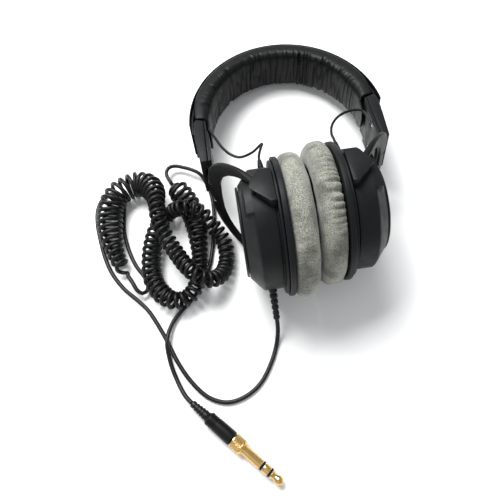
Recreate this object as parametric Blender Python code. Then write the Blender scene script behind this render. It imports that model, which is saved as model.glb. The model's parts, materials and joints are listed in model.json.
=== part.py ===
"""Closed-back studio headphones with a coiled cord, modelled in millimetres and written in metres.

Two frames are used.
* The rest frame follows the headband's flat arc: u runs across the head, v from the cups to the top
  of the band, and w across the band's width. The headphones lie down, so it leans on its side.
* Each cup has its own frame: x runs along v, y along w and z outward from the ear, from u = 0.
"""
import math

import bmesh
import bpy
from mathutils import Matrix, Vector

MM = 0.001
GAP = 0.3                       # clearance between neighbouring solids

# How the headphones lie: on both pads' rims and on the lower edge of the band's top.
REST_TILT = math.radians(10.3)  # lean of the arc's plane against the table
ORIGIN_Y = 58.93                # from the right cup's axis to the middle of the footprint
PAD_R = 48.5
REST_HEIGHT = 48.29             # the right cup's axis above the table

# Cups: heights z are measured outward from the plane where the two pads meet.
PAD_OPENING_R = 28.0
PAD_Z = (0.25, 16.4)
FOAM_R = 27.0
FOAM_Z = (14.9, 16.3)
BAFFLE_R = 46.0
BAFFLE_Z = (16.7, 20.5)
DRIVER_R = 20.7
RIM_R = 44.0
SHELL_R = 40.0
SHELL_INNER_R = 37.2
SHELL_Z = (20.9, 44.0)
CAP_R = 29.9
CAP_TOP_Z = 45.5
FELT_R = (14.0, 34.0)
FELT_Z = (24.6, 27.6)

# Forks and pivots.
PIVOT_U = 30.0                  # the tilt axis passes here, parallel to w
EYE_R = 4.0
EYE_W = (40.8, 43.6)
PIN_R = 1.7
LEAN = 0.77                     # the arms come in by this much for each millimetre down
STEM_U = 62.3
STEM_THICKNESS = 1.8
STEM_WIDTH = 12.0
STEM_TOP_V = 84.0
LEFT_EXTENSION = 5.0            # the left cup is drawn out this far at rest
LEFT_DROP = LEFT_EXTENSION * math.tan(REST_TILT)  # play in its slider that lets the pad reach the table

# Headband: an ellipse in the u, v plane.
BAND_CENTRE_V = 86.0
BAND_A = 72.0
BAND_B = 85.0
COVER_THICKNESS = 1.0
COVER_WIDTH = 35.0
SPRING_DEPTH = (1.3, 2.5)
SPRING_WIDTH = 24.0
CUSHION_DEPTH = (1.3, 15.0)
CUSHION_WIDTH = 37.6
BAND_END_V = 80.0               # the spring band and its cover stop here, on the housings
CUSHION_END_V = 95.0
TONGUE_END_V = 80.0

# Slider housings.
HOUSING_WIDTH = 32.0
LID_U = (58.5, 60.9)
HOUSING_U = 61.2
HOUSING_V = (47.6, 91.5)
CHANNEL_DEPTH_U = 63.6
LID_SCREW_V = 64.0
RIVET_V = 84.0

# Cord and plug.
CORD_R = 1.5
LEAD_R = 0.95
COIL_R = 6.3                    # outer radius of the curly stretch
RELIEF_R = (40.3, 62.8)         # the cord's strain relief, measured from the cup's axis
RELIEF_Z = 30.4
RELIEF_ANGLE = math.radians(225)
LEAD_RELIEF_XY = (34.0, 21.0)
LEAD_RELIEF_Z = 26.5
LEAD_RELIEF_LENGTH = 8.0
PLUG_START = Vector((-94.7, -102.2 - ORIGIN_Y, 5.0))
PLUG_AXIS = Vector((0.676, -0.737, 0.0))

CHARCOAL = ((0.035, 0.037, 0.036), 0.55, 0.0)
SATIN_BLACK = ((0.012, 0.012, 0.013), 0.38, 0.0)
LEATHERETTE = ((0.02, 0.021, 0.022), 0.5, 0.0)
VELOUR = ((0.42, 0.41, 0.36), 0.95, 0.0)
FOAM = ((0.03, 0.03, 0.03), 0.98, 0.0)
STEEL = ((0.5, 0.5, 0.52), 0.3, 1.0)
SPRING_STEEL = ((0.22, 0.22, 0.24), 0.35, 1.0)
MAGNET = ((0.12, 0.12, 0.13), 0.45, 1.0)
CLEAR_FILM = ((0.55, 0.6, 0.62), 0.25, 0.0)
FELT = ((0.55, 0.54, 0.5), 1.0, 0.0)
RUBBER = ((0.01, 0.01, 0.011), 0.6, 0.0)
GOLD = ((0.8, 0.55, 0.2), 0.25, 1.0)
INSULATOR = ((0.01, 0.01, 0.01), 0.4, 0.0)

# The cord's route on the table, from the left cup's strain relief to the plug, chosen by hand.
MAIN_ROUTE = (
    (-30.7, -63, 7.4), (-31.6, -67, 3.9), (-33.6, -73, 1.7), (-38.4, -83, 1.6), (-46.8, -94.8, 1.6),
    (-57.6, -102.3, 1.6), (-70.8, -105, 1.6), (-83.5, -100, 1.6), (-94, -88.3, 1.6),
    (-102.2, -73.7, 1.6), (-108.8, -57, 1.6), (-115, -43.4, 1.6), (-121, -32.5, 1.6),
    (-129, -23, 1.6), (-138, -13, 1.6), (-146, 0, 1.6), (-151, 14, 1.6), (-154.2, 29, 1.6),
    (-156.2, 42.6, 1.6), (-156, 55, 1.6), (-152.5, 64, 1.6), (-146.5, 69, 1.6), (-140, 67.5, 1.6),
    (-135.6, 60, 1.6), (-135, 48.3, 1.6), (-135.4, 33.2, 1.6), (-132.6, 17.5, 1.6), (-128, 4, 1.6),
    (-122.8, -5, 1.6), (-119.8, -12, 2.4), (-119.4, -17.6, 3.8), (-122.6, -21, 5.4),
    (-126.4, -18.6, 6.8), (-129.1, -12.9, 7.4), (-131.44, -8.51, 7.4))
COIL_ROUTE = (
    (-131.6, -8.2, 7.4), (-137.3, 2.6, 7.2), (-141.6, 15.1, 7), (-143.6, 28.2, 7), (-143.8, 41.2, 8),
    (-142.2, 53, 10), (-136.8, 62, 10.6), (-128.7, 67.2, 10), (-120, 68.6, 9.4), (-112, 64.6, 12),
    (-107, 54.5, 16.5), (-105.2, 42.5, 21.2), (-104.6, 30.5, 22.8), (-102.2, 19.3, 22),
    (-98.2, 9.4, 21), (-93.3, -1, 21), (-87.7, -11.3, 22.5), (-80.7, -20.6, 24.6),
    (-72.2, -23.5, 19.8), (-64.4, -18.2, 12), (-60, -8.4, 7), (-58.6, 2.6, 7), (-60.6, 12.4, 8.4),
    (-66, 21.6, 12.6), (-72, 29, 18.8), (-78.8, 33.4, 22), (-86.8, 36, 20.5),
    (-95.5, 39.5, 11.5), (-102.4, 37, 7.4), (-107.6, 30, 7), (-111.6, 19.6, 7), (-114, 8.5, 7),
    (-114.8, -3.5, 7), (-113, -16, 8), (-106.6, -26.8, 10), (-97.6, -32.4, 10.8),
    (-88.6, -30, 10.8), (-82.4, -21.4, 10.4), (-79.4, -10.4, 8.6), (-78.6, 1.4, 7), (-78.4, 14, 7),
    (-78.6, 26.7, 7), (-81.3, 40, 7), (-86.2, 52.5, 7), (-91.8, 61.5, 7), (-95.6, 69, 7.4))
TAIL_ROUTE = (
    (-95.76, 69.31, 7.42), (-97.6, 73.6, 7.6), (-97.9, 78, 7.4), (-95.4, 82.2, 7), (-90.4, 83.4, 6.2),
    (-84, 81, 6), (-77.5, 77, 7), (-71.5, 72.6, 6), (-67.3, 65, 3), (-65, 56.5, 1.6),
    (-64.2, 45.2, 1.6), (-65, 32, 1.6), (-67, 19.3, 1.6), (-69.6, 5.5, 1.6), (-73, -6.5, 1.6),
    (-79.5, -18.5, 1.6), (-88, -29.5, 1.6), (-97.2, -38, 1.8), (-104.2, -47, 3.4),
    (-108, -59, 5.2), (-107.2, -73, 2.6), (-103.6, -86, 1.8), (-99.2, -96.2, 3.4),
    (-94.95, -101.93, 5.0))
# The lead between each housing and cup, in the rest frame.
LEFT_LEAD = (
    (-26.5, 37.6, 20.1), (-26.2, 41, 19.6), (-25, 46, 18.8), (-23, 52, 18), (-22, 54.6, 17.8),
    (-24, 53.4, 17.6), (-30, 48, 17.4), (-38.5, 45.6, 17), (-45, 50, 16.6), (-50, 58.5, 16),
    (-54, 69.5, 15), (-56.8, 78, 14.2), (-58.0, 81.8, 14))
RIGHT_LEAD = (
    (26.5, 42.6, 21), (26.3, 46, 21), (26, 51, 20.8), (28, 59, 20.4), (33, 66.5, 20),
    (40, 72, 19), (47.5, 74.5, 18), (53.5, 74, 17), (56.4, 70, 16), (57.1, 65.5, 15), (57.2, 62, 14))


def clear_scene():
    for item in list(bpy.data.objects):
        bpy.data.objects.remove(item, do_unlink=True)


def make_material(name, look):
    colour, roughness, metallic = look
    material = bpy.data.materials.new(name)
    material.use_nodes = True
    shader = material.node_tree.nodes["Principled BSDF"]
    shader.inputs["Base Color"].default_value = (*colour, 1.0)
    shader.inputs["Roughness"].default_value = roughness
    shader.inputs["Metallic"].default_value = metallic
    return material


def make_empty(name, location, rotation=None, parent=None):
    """A guide on a joint's axis. Its location is in millimetres, in its parent's frame."""
    empty = bpy.data.objects.new(name, None)
    bpy.context.collection.objects.link(empty)
    turn = rotation if rotation is not None else Matrix.Identity(3)
    empty.parent = parent
    empty.matrix_basis = Matrix.Translation(Vector(location) * MM) @ turn.to_4x4()
    bpy.context.view_layer.update()
    return empty


def make_object(name, bm, look, parent, origin=(0.0, 0.0, 0.0)):
    """One named solid. The mesh is in millimetres in its parent's axes, measured from origin."""
    bmesh.ops.translate(bm, verts=bm.verts, vec=-Vector(origin))
    bmesh.ops.scale(bm, verts=bm.verts, vec=(MM, MM, MM))
    bmesh.ops.recalc_face_normals(bm, faces=bm.faces)
    mesh = bpy.data.meshes.new(name)
    bm.to_mesh(mesh)
    bm.free()
    mesh.shade_smooth()
    mesh.set_sharp_from_angle(angle=math.radians(35))
    mesh.materials.append(make_material(name, look))
    item = bpy.data.objects.new(name, mesh)
    bpy.context.collection.objects.link(item)
    item.parent = parent
    bpy.context.view_layer.update()
    return item


def make_cutter(name, bm, parent, origin=(0.0, 0.0, 0.0)):
    cutter = make_object(name, bm, CHARCOAL, parent, origin)
    cutter.hide_render = True
    cutter.display_type = "WIRE"
    return cutter


def add_boolean(item, tool, operation="DIFFERENCE"):
    modifier = item.modifiers.new(operation.lower(), "BOOLEAN")
    modifier.operation = operation
    modifier.solver = "EXACT"
    modifier.object = tool


def bridge(bm, rings, closed=False):
    """Joins rings of vertices with quads, and caps the ends unless the rings form a loop."""
    count = len(rings[0])
    pairs = list(zip(rings, rings[1:]))
    if closed:
        pairs.append((rings[-1], rings[0]))
    for first, second in pairs:
        for i in range(count):
            j = (i + 1) % count
            bm.faces.new((first[i], first[j], second[j], second[i]))
    if not closed:
        bm.faces.new(rings[0])
        bm.faces.new(rings[-1])


def add_lathe(bm, profile, segments, centre=(0.0, 0.0)):
    """Turns a closed (radius, z) outline round the z axis. Outlines that touch the axis have poles."""
    spokes = []
    poles = {}
    for k in range(segments):
        angle = 2 * math.pi * k / segments
        spoke = []
        for index, (radius, z) in enumerate(profile):
            if radius > 1e-6:
                spoke.append(bm.verts.new((centre[0] + radius * math.cos(angle),
                                           centre[1] + radius * math.sin(angle), z)))
            else:
                if index not in poles:
                    poles[index] = bm.verts.new((centre[0], centre[1], z))
                spoke.append(poles[index])
        spokes.append(spoke)
    count = len(profile)
    for k in range(segments):
        first, second = spokes[k], spokes[(k + 1) % segments]
        for i in range(count):
            j = (i + 1) % count
            corners = []
            for vertex in (first[i], first[j], second[j], second[i]):
                if vertex not in corners:
                    corners.append(vertex)
            if len(corners) > 2:
                bm.faces.new(corners)
    return bm


def lathe(profile, segments=40):
    return add_lathe(bmesh.new(), profile, segments)


def add_rod(bm, start, end, radius, segments=14, end_radius=None):
    """A round rod between two points, tapered if the end has a radius of its own."""
    start, end = Vector(start), Vector(end)
    axis = (end - start).normalized()
    side = axis.orthogonal().normalized()
    other = axis.cross(side)
    rings = []
    for point, size in ((start, radius), (end, radius if end_radius is None else end_radius)):
        ring = []
        for k in range(segments):
            angle = 2 * math.pi * k / segments
            ring.append(bm.verts.new(point + size * (math.cos(angle) * side + math.sin(angle) * other)))
        rings.append(ring)
    bridge(bm, rings)
    return bm


def add_turned_rod(bm, start, axis, profile, segments=16):
    """A turned piece along any axis from (distance, radius) steps."""
    start, axis = Vector(start), Vector(axis).normalized()
    side = axis.orthogonal().normalized()
    other = axis.cross(side)
    rings = []
    for distance, radius in profile:
        ring = []
        for k in range(segments):
            angle = 2 * math.pi * k / segments
            spoke = math.cos(angle) * side + math.sin(angle) * other
            ring.append(bm.verts.new(start + distance * axis + radius * spoke))
        rings.append(ring)
    bridge(bm, rings)
    return bm


def add_box(bm, low, high):
    verts = []
    for x, y in ((0, 0), (1, 0), (1, 1), (0, 1)):
        for z in (0, 1):
            verts.append(bm.verts.new(((low, high)[x][0], (low, high)[y][1], (low, high)[z][2])))
    bridge(bm, [verts[0::2], verts[1::2]])
    return bm


def add_prism(bm, outline, axis, low, high):
    """Extrudes a flat outline along the axis with the given index, from low to high."""
    rings = []
    for level in (low, high):
        ring = []
        for a, b in outline:
            point = [a, b]
            point.insert(axis, level)
            ring.append(bm.verts.new(point))
        rings.append(ring)
    bridge(bm, rings)
    return bm


def bevel_all(bm, width, angle=50):
    sharp = [edge for edge in bm.edges if edge.calc_face_angle(0.0) > math.radians(angle)]
    bmesh.ops.bevel(bm, geom=sharp, offset=width, segments=1, affect="EDGES", profile=0.5)
    return bm


def mirror_u(bm, side):
    if side < 0:
        bmesh.ops.scale(bm, verts=bm.verts, vec=(-1, 1, 1))
    return bm


def smooth_points(route, spacing):
    """Reads evenly spaced points from a smooth curve through the route's points."""
    points = [Vector(point) for point in route]
    fine = []
    steps = 12
    for i in range(len(points) - 1):
        before = points[max(i - 1, 0)]
        after = points[min(i + 2, len(points) - 1)]
        start, end = points[i], points[i + 1]
        leave = (end - before) * 0.5
        arrive = (after - start) * 0.5
        for k in range(steps):
            t = k / steps
            fine.append(start * (2 * t ** 3 - 3 * t ** 2 + 1) + leave * (t ** 3 - 2 * t ** 2 + t)
                        + end * (3 * t ** 2 - 2 * t ** 3) + arrive * (t ** 3 - t ** 2))
    fine.append(points[-1])
    lengths = [0.0]
    for first, second in zip(fine, fine[1:]):
        lengths.append(lengths[-1] + (second - first).length)
    count = max(2, round(lengths[-1] / spacing))
    result = []
    index = 0
    for k in range(count + 1):
        target = lengths[-1] * k / count
        while index < len(fine) - 2 and lengths[index + 1] < target:
            index += 1
        part = (target - lengths[index]) / (lengths[index + 1] - lengths[index])
        result.append(fine[index].lerp(fine[index + 1], min(max(part, 0.0), 1.0)))
    return result


def make_tube(name, route, radius, spacing, look, frame=None):
    curve = bpy.data.curves.new(name, "CURVE")
    curve.dimensions = "3D"
    curve.bevel_depth = radius * MM
    curve.bevel_resolution = 2
    curve.use_fill_caps = True
    points = smooth_points(route, spacing)
    spline = curve.splines.new("POLY")
    spline.points.add(len(points) - 1)
    for slot, point in zip(spline.points, points):
        slot.co = (*(point * MM), 1.0)
    curve.materials.append(make_material(name, look))
    item = bpy.data.objects.new(name, curve)
    bpy.context.collection.objects.link(item)
    item.parent = frame
    return item


def rounded_ring(inner, outer, low, high, power=3.4, count=12):
    """The outline of a soft ring's cross-section, a superellipse."""
    middle_r, middle_z = (inner + outer) / 2, (low + high) / 2
    half_r, half_z = (outer - inner) / 2, (high - low) / 2
    outline = []
    for k in range(count):
        angle = 2 * math.pi * (k + 0.5) / count
        cosine, sine = math.cos(angle), math.sin(angle)
        outline.append((middle_r + half_r * math.copysign(abs(cosine) ** (2 / power), cosine),
                        middle_z + half_z * math.copysign(abs(sine) ** (2 / power), sine)))
    return outline


# ---------------------------------------------------------------------------------------- cups

def build_driver(side, cup, at):
    """The loudspeaker: grille, diaphragm, basket and magnet, all on the cup's axis."""
    grille = make_object(side + "_driver_grille",
                         lathe([(0, 16.9), (20.4, 16.9), (20.4, 17.5), (0, 17.5)], 24), STEEL, cup, at)
    holes = bmesh.new()
    add_rod(holes, (0, 0, 16), (0, 0, 18.5), 2.6, 6)
    for k in range(6):
        angle = math.pi * k / 3
        x, y = 11 * math.cos(angle), 11 * math.sin(angle)
        add_rod(holes, (x, y, 16), (x, y, 18.5), 2.6, 6)
    add_boolean(grille, make_cutter(side + "_grille_holes", holes, cup, at))
    film = [(0, 18.0), (8.2, 19.4), (13, 18.5), (18.5, 19.4), (18.5, 19.8), (13, 18.9), (8.2, 19.8), (0, 18.4)]
    make_object(side + "_driver_diaphragm", lathe(film, 22), CLEAR_FILM, cup, at)
    basket = [(19.0, 17.8), (DRIVER_R, 17.8), (DRIVER_R, 22.9), (12.4, 22.9), (12.4, 21.4), (19.0, 21.4)]
    make_object(side + "_driver_frame", lathe(basket, 24), CHARCOAL, cup, at)
    magnet = [(0, 20.5), (7.2, 20.5), (7.2, 25.5), (8.8, 25.5), (8.8, 20.5), (12.0, 20.5),
              (12.0, 28.5), (0, 28.5)]
    make_object(side + "_driver_magnet", lathe(magnet, 20), MAGNET, cup, at)


def shell_outline():
    rim = [(SHELL_INNER_R, SHELL_Z[0]), (RIM_R, SHELL_Z[0]), (RIM_R, 22.4)]
    groove = [(38.6, 22.4), (38.6, 24.0)]
    outside = [(SHELL_R, 24.0), (SHELL_R, 36.0), (38.8, 37.2), (30.6, SHELL_Z[1])]
    inside = [(28.2, SHELL_Z[1]), (36.0, 37.6), (SHELL_INNER_R, 36.4)]
    return rim + groove + outside + inside


def build_cover(name, cup, at, end):
    """The plate over a pivot: a roof with walls on the baffle side and below the arm."""
    roof = [(-13.0, 22.8), (-13.2, 26.2), (-1.5, 37.6), (2.5, 36.8), (11.5, 31.0), (12.0, 23.0)]
    pocket = [(-11.4, 24.4), (-11.4, 25.8), (-5.6, 32.2), (-4.0, 42.0), (16.0, 42.0),
              (16.0, 30.0), (10.4, 30.0), (10.4, 24.4)]
    low, high = sorted((end * 36.0, end * 44.8))
    plate = bmesh.new()
    rings = []
    for level in (low, high):
        rings.append([plate.verts.new((x, level, z)) for x, z in roof])
    bridge(plate, rings)
    bevel_all(plate, 0.35)
    cover = make_object(name, plate, CHARCOAL, cup, at)
    low, high = sorted((end * 30.0, end * 43.9))
    hollow = bmesh.new()
    rings = []
    for level in (low, high):
        rings.append([hollow.verts.new((x, level, z)) for x, z in pocket])
    bridge(hollow, rings)
    add_boolean(cover, make_cutter(name + "_pocket", hollow, cup, at))
    round_cut = lathe([(0, 10.0), (SHELL_R + GAP, 10.0), (SHELL_R + GAP, 60.0), (0, 60.0)], 60)
    add_boolean(cover, make_cutter(name + "_seat", round_cut, cup, at))


def build_cup(side, sign, cup):
    at = (0.0, 0.0, PIVOT_U)
    make_object(side + "_ear_pad", lathe(rounded_ring(PAD_OPENING_R, PAD_R, *PAD_Z), 36), VELOUR, cup, at)
    foam = [(0, FOAM_Z[0]), (FOAM_R, FOAM_Z[0]), (FOAM_R, FOAM_Z[1]), (0, FOAM_Z[1])]
    make_object(side + "_foam_disc", lathe(foam, 24), FOAM, cup, at)
    plate = [(DRIVER_R + GAP, BAFFLE_Z[0]), (BAFFLE_R, BAFFLE_Z[0]), (BAFFLE_R, 20.0),
             (45.5, BAFFLE_Z[1]), (40.0, BAFFLE_Z[1]), (40.0, 19.0), (DRIVER_R + GAP, 19.0)]
    make_object(side + "_baffle", lathe(plate, 36), CHARCOAL, cup, at)
    build_driver(side, cup, at)
    felt = [(FELT_R[0], FELT_Z[0]), (FELT_R[1], FELT_Z[0]), (FELT_R[1], FELT_Z[1]), (FELT_R[0], FELT_Z[1])]
    make_object(side + "_damping_felt", lathe(felt, 20), FELT, cup, at)

    shell = make_object(side + "_cup_shell", lathe(shell_outline(), 36), CHARCOAL, cup, at)
    cap = [(0, 42.6), (27.4, 42.6), (27.4, 44.3), (CAP_R, 44.3), (CAP_R, 45.1), (29.2, 45.9), (27.0, 45.9),
           (26.2, CAP_TOP_Z), (0, CAP_TOP_Z)]
    make_object(side + "_back_cap", lathe(cap, 32), CHARCOAL, cup, at)

    wall_holes = bmesh.new()
    for end, place in ((sign, "upper"), (-sign, "lower")):
        add_rod(wall_holes, (0, end * 30, PIVOT_U), (0, end * 42, PIVOT_U), PIN_R + GAP, 12)
        pin = add_turned_rod(bmesh.new(), (0, end * 35.0, PIVOT_U), (0, end, 0),
                             [(0, 3.2), (1.2, 3.2), (1.2, PIN_R), (8.6, PIN_R)], 12)
        make_object(side + "_pivot_pin_" + place, pin, STEEL, cup, at)
        build_cover(side + "_pivot_cover_" + place, cup, at, end)
    x, y = LEAD_RELIEF_XY
    add_rod(wall_holes, (x - 9, y * sign, LEAD_RELIEF_Z), (x + 9, y * sign, LEAD_RELIEF_Z), 2.1, 10)
    reach = Vector((math.cos(RELIEF_ANGLE), math.sin(RELIEF_ANGLE) * sign, 0))
    if sign < 0:
        add_rod(wall_holes, reach * 33 + Vector((0, 0, RELIEF_Z)), reach * 45 + Vector((0, 0, RELIEF_Z)),
                3.1, 12)
    add_boolean(shell, make_cutter(side + "_wall_holes", wall_holes, cup, at))

    sleeve = [(-4.0, 1.8), (1.0, 1.8), (LEAD_RELIEF_LENGTH, 1.5)]
    make_object(side + "_lead_relief",
                add_turned_rod(bmesh.new(), (x, y * sign, LEAD_RELIEF_Z), (1, 0, 0), sleeve, 12),
                RUBBER, cup, at)
    if sign < 0:
        build_cord_relief(cup, at, reach)


def build_cord_relief(cup, at, reach):
    """The ribbed sleeve where the cord leaves the left cup."""
    start, end = RELIEF_R
    steps = [(35.0, 4.4), (36.2, 4.4), (36.2, 2.8), (start, 2.8)]
    ribs = 4
    pitch = (end - start) / ribs
    for k in range(ribs):
        size = 2.8 - 0.16 * k
        low = start + k * pitch
        steps += [(low + 0.2 * pitch, size), (low + 0.25 * pitch, size - 0.6),
                  (low + 0.45 * pitch, size - 0.6), (low + 0.5 * pitch, size)]
    steps.append((end, 2.1))
    make_object("cord_relief", add_turned_rod(bmesh.new(), (0, 0, RELIEF_Z), reach, steps, 12),
                RUBBER, cup, at)


# --------------------------------------------------------------------------------------- forks

def arm_stations():
    """(v, w, width in the fork's plane, thickness) from the crown's middle to the eye."""
    return ((39.4, 0.0, 9.0, 2.4), (39.2, 7.0, 9.0, 2.4), (38.6, 14.0, 9.2, 2.4), (37.2, 21.0, 9.6, 2.5),
            (33.8, 28.6, 10.2, 2.6), (27.4, 34.6, 9.4, 2.8), (20.5, 38.6, 8.0, 3.1),
            (14.0, 40.9, 6.2, 3.6), (8.0, 41.9, 4.2, 4.4), (2.5, 42.2, 2.8, 5.0))


def build_fork(side, sign, slide, origin, v0, w0):
    stations = arm_stations()
    whole = [(v, -w, width, thick) for v, w, width, thick in reversed(stations[1:])] + list(stations)
    normal = Vector((1.0, -LEAN, 0.0)).normalized()
    centres = [Vector((STEM_U - LEAN * (42.0 - v), v, w)) for v, w, _, _ in whole]
    arms = bmesh.new()
    rings = []
    for i, (_, _, width, thick) in enumerate(whole):
        along = (centres[min(i + 1, len(whole) - 1)] - centres[max(i - 1, 0)]).normalized()
        across = normal.cross(along).normalized()
        ring = []
        for a, b in ((-1, -1), (1, -1), (1, 1), (-1, 1)):
            ring.append(arms.verts.new(centres[i] + across * (a * width / 2) + normal * (b * thick / 2)))
        rings.append(ring)
    bridge(arms, rings)
    place = Vector((0, v0, w0))
    bmesh.ops.translate(arms, verts=arms.verts, vec=place)
    fork = make_object(side + "_fork", mirror_u(arms, sign), SATIN_BLACK, slide, origin)

    stem = bmesh.new()
    path = ((62.3, STEM_TOP_V), (62.3, 47.0), (62.15, 45.2), (61.6, 43.4), (60.6, 41.4), (59.2, 39.4))
    rings = []
    for i, (u, v) in enumerate(path):
        u2, v2 = path[min(i + 1, len(path) - 1)]
        u1, v1 = path[max(i - 1, 0)]
        out = Vector((v1 - v2, u2 - u1, 0)).normalized() * STEM_THICKNESS / 2
        centre = Vector((u, v, 0))
        half = Vector((0, 0, STEM_WIDTH / 2))
        rings.append([stem.verts.new(centre + out + half), stem.verts.new(centre + out - half),
                      stem.verts.new(centre - out - half), stem.verts.new(centre - out + half)])
    bridge(stem, rings)
    bmesh.ops.translate(stem, verts=stem.verts, vec=place)
    add_boolean(fork, make_cutter(side + "_fork_stem", mirror_u(stem, sign), slide, origin), "UNION")
    holes = bmesh.new()
    for end in (-1, 1):
        eye = bmesh.new()
        add_rod(eye, (PIVOT_U, 0, end * EYE_W[0]), (PIVOT_U, 0, end * EYE_W[1]), EYE_R, 20)
        bmesh.ops.translate(eye, verts=eye.verts, vec=place)
        name = side + ("_eye_upper" if end > 0 else "_eye_lower")
        add_boolean(fork, make_cutter(name, mirror_u(eye, sign), slide, origin), "UNION")
        add_rod(holes, (PIVOT_U, 0, end * 38.0), (PIVOT_U, 0, end * 46.0), PIN_R + GAP, 12)
    bmesh.ops.translate(holes, verts=holes.verts, vec=place)
    add_boolean(fork, make_cutter(side + "_eye_holes", mirror_u(holes, sign), slide, origin))


# ------------------------------------------------------------------------------------ headband

def band_point(angle, depth):
    """A point of the arc, depth millimetres inside its outer ellipse."""
    return ((BAND_A - depth) * math.cos(angle), BAND_CENTRE_V + (BAND_B - depth) * math.sin(angle))


def arc_angles(end_v, count):
    start = math.asin((end_v - BAND_CENTRE_V) / BAND_B)
    return [start + (math.pi - 2 * start) * k / (count - 1) for k in range(count)]


def sweep_band(stations):
    """Stations are (angle, outline), each outline a closed list of (depth, w)."""
    bm = bmesh.new()
    rings = []
    for angle, outline in stations:
        ring = []
        for depth, w in outline:
            u, v = band_point(angle, depth)
            ring.append(bm.verts.new((u, v, w)))
        rings.append(ring)
    bridge(bm, rings)
    return bm


def cushion_outline(outer, inner, half, groove):
    edge = min(SPRING_WIDTH / 2 + 0.4, half - 3.6)
    soft = min(5.5, (inner - outer) * 0.42, half * 0.4)
    side = [(outer + 0.25 * soft, half - 0.35 * soft), (outer + 0.6 * soft, half),
            (inner - soft, half), (inner - 0.3 * soft, half - 0.35 * soft), (inner, half - 1.1 * soft)]
    upper = [(outer + groove, 0.0), (outer + groove, edge), (outer, edge)] + side
    lower = [(depth, -w) for depth, w in reversed(upper) if abs(w) > 1e-6]
    return upper + [(inner, 0.0)] + lower


def build_cushion(frame):
    """The padded band. Below its full section a thin rounded tongue lies on each housing's lid."""
    stations = []
    turn = math.asin((CUSHION_END_V - BAND_CENTRE_V) / BAND_B)
    tongue_end = math.asin((TONGUE_END_V - BAND_CENTRE_V) / BAND_B)
    for share, half in ((0.0, 4.4), (0.15, 7.6), (0.45, 10.2), (0.985, 11.2)):
        angle = tongue_end + share * (turn - tongue_end)
        stations.append((angle, cushion_outline(12.9, CUSHION_DEPTH[1], half, 0.15)))
    count = 16
    for k in range(count):
        angle = turn + (math.pi / 2 - turn) * k / (count - 1)
        v = BAND_CENTRE_V + BAND_B * math.sin(angle)
        near_end = min(max((126.0 - v) / (126.0 - CUSHION_END_V), 0.0), 1.0)
        outer = CUSHION_DEPTH[0] + 2.6 * near_end ** 2
        half = CUSHION_WIDTH / 2 - 4.2 * near_end ** 2
        groove = max(3.0 - outer, 0.15)
        stations.append((angle, cushion_outline(outer, CUSHION_DEPTH[1], half, groove)))
    mirrored = [(math.pi - angle, outline) for angle, outline in reversed(stations[:-1])]
    make_object("headband_cushion", sweep_band(stations + mirrored), LEATHERETTE, frame)


def build_band(frame):
    half = SPRING_WIDTH / 2
    strip = [(SPRING_DEPTH[0], -half), (SPRING_DEPTH[0], half), (SPRING_DEPTH[1], half),
             (SPRING_DEPTH[1], -half)]
    band = make_object("headband_spring_band",
                       sweep_band([(angle, strip) for angle in arc_angles(BAND_END_V, 31)]),
                       SPRING_STEEL, frame)
    half = COVER_WIDTH / 2
    skin = [(0.35, -half), (0, -half + 0.8), (0, half - 0.8), (0.35, half), (COVER_THICKNESS, half),
            (COVER_THICKNESS, -half)]
    make_object("headband_cover", sweep_band([(angle, skin) for angle in arc_angles(BAND_END_V, 31)]),
                LEATHERETTE, frame)
    return band


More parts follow.
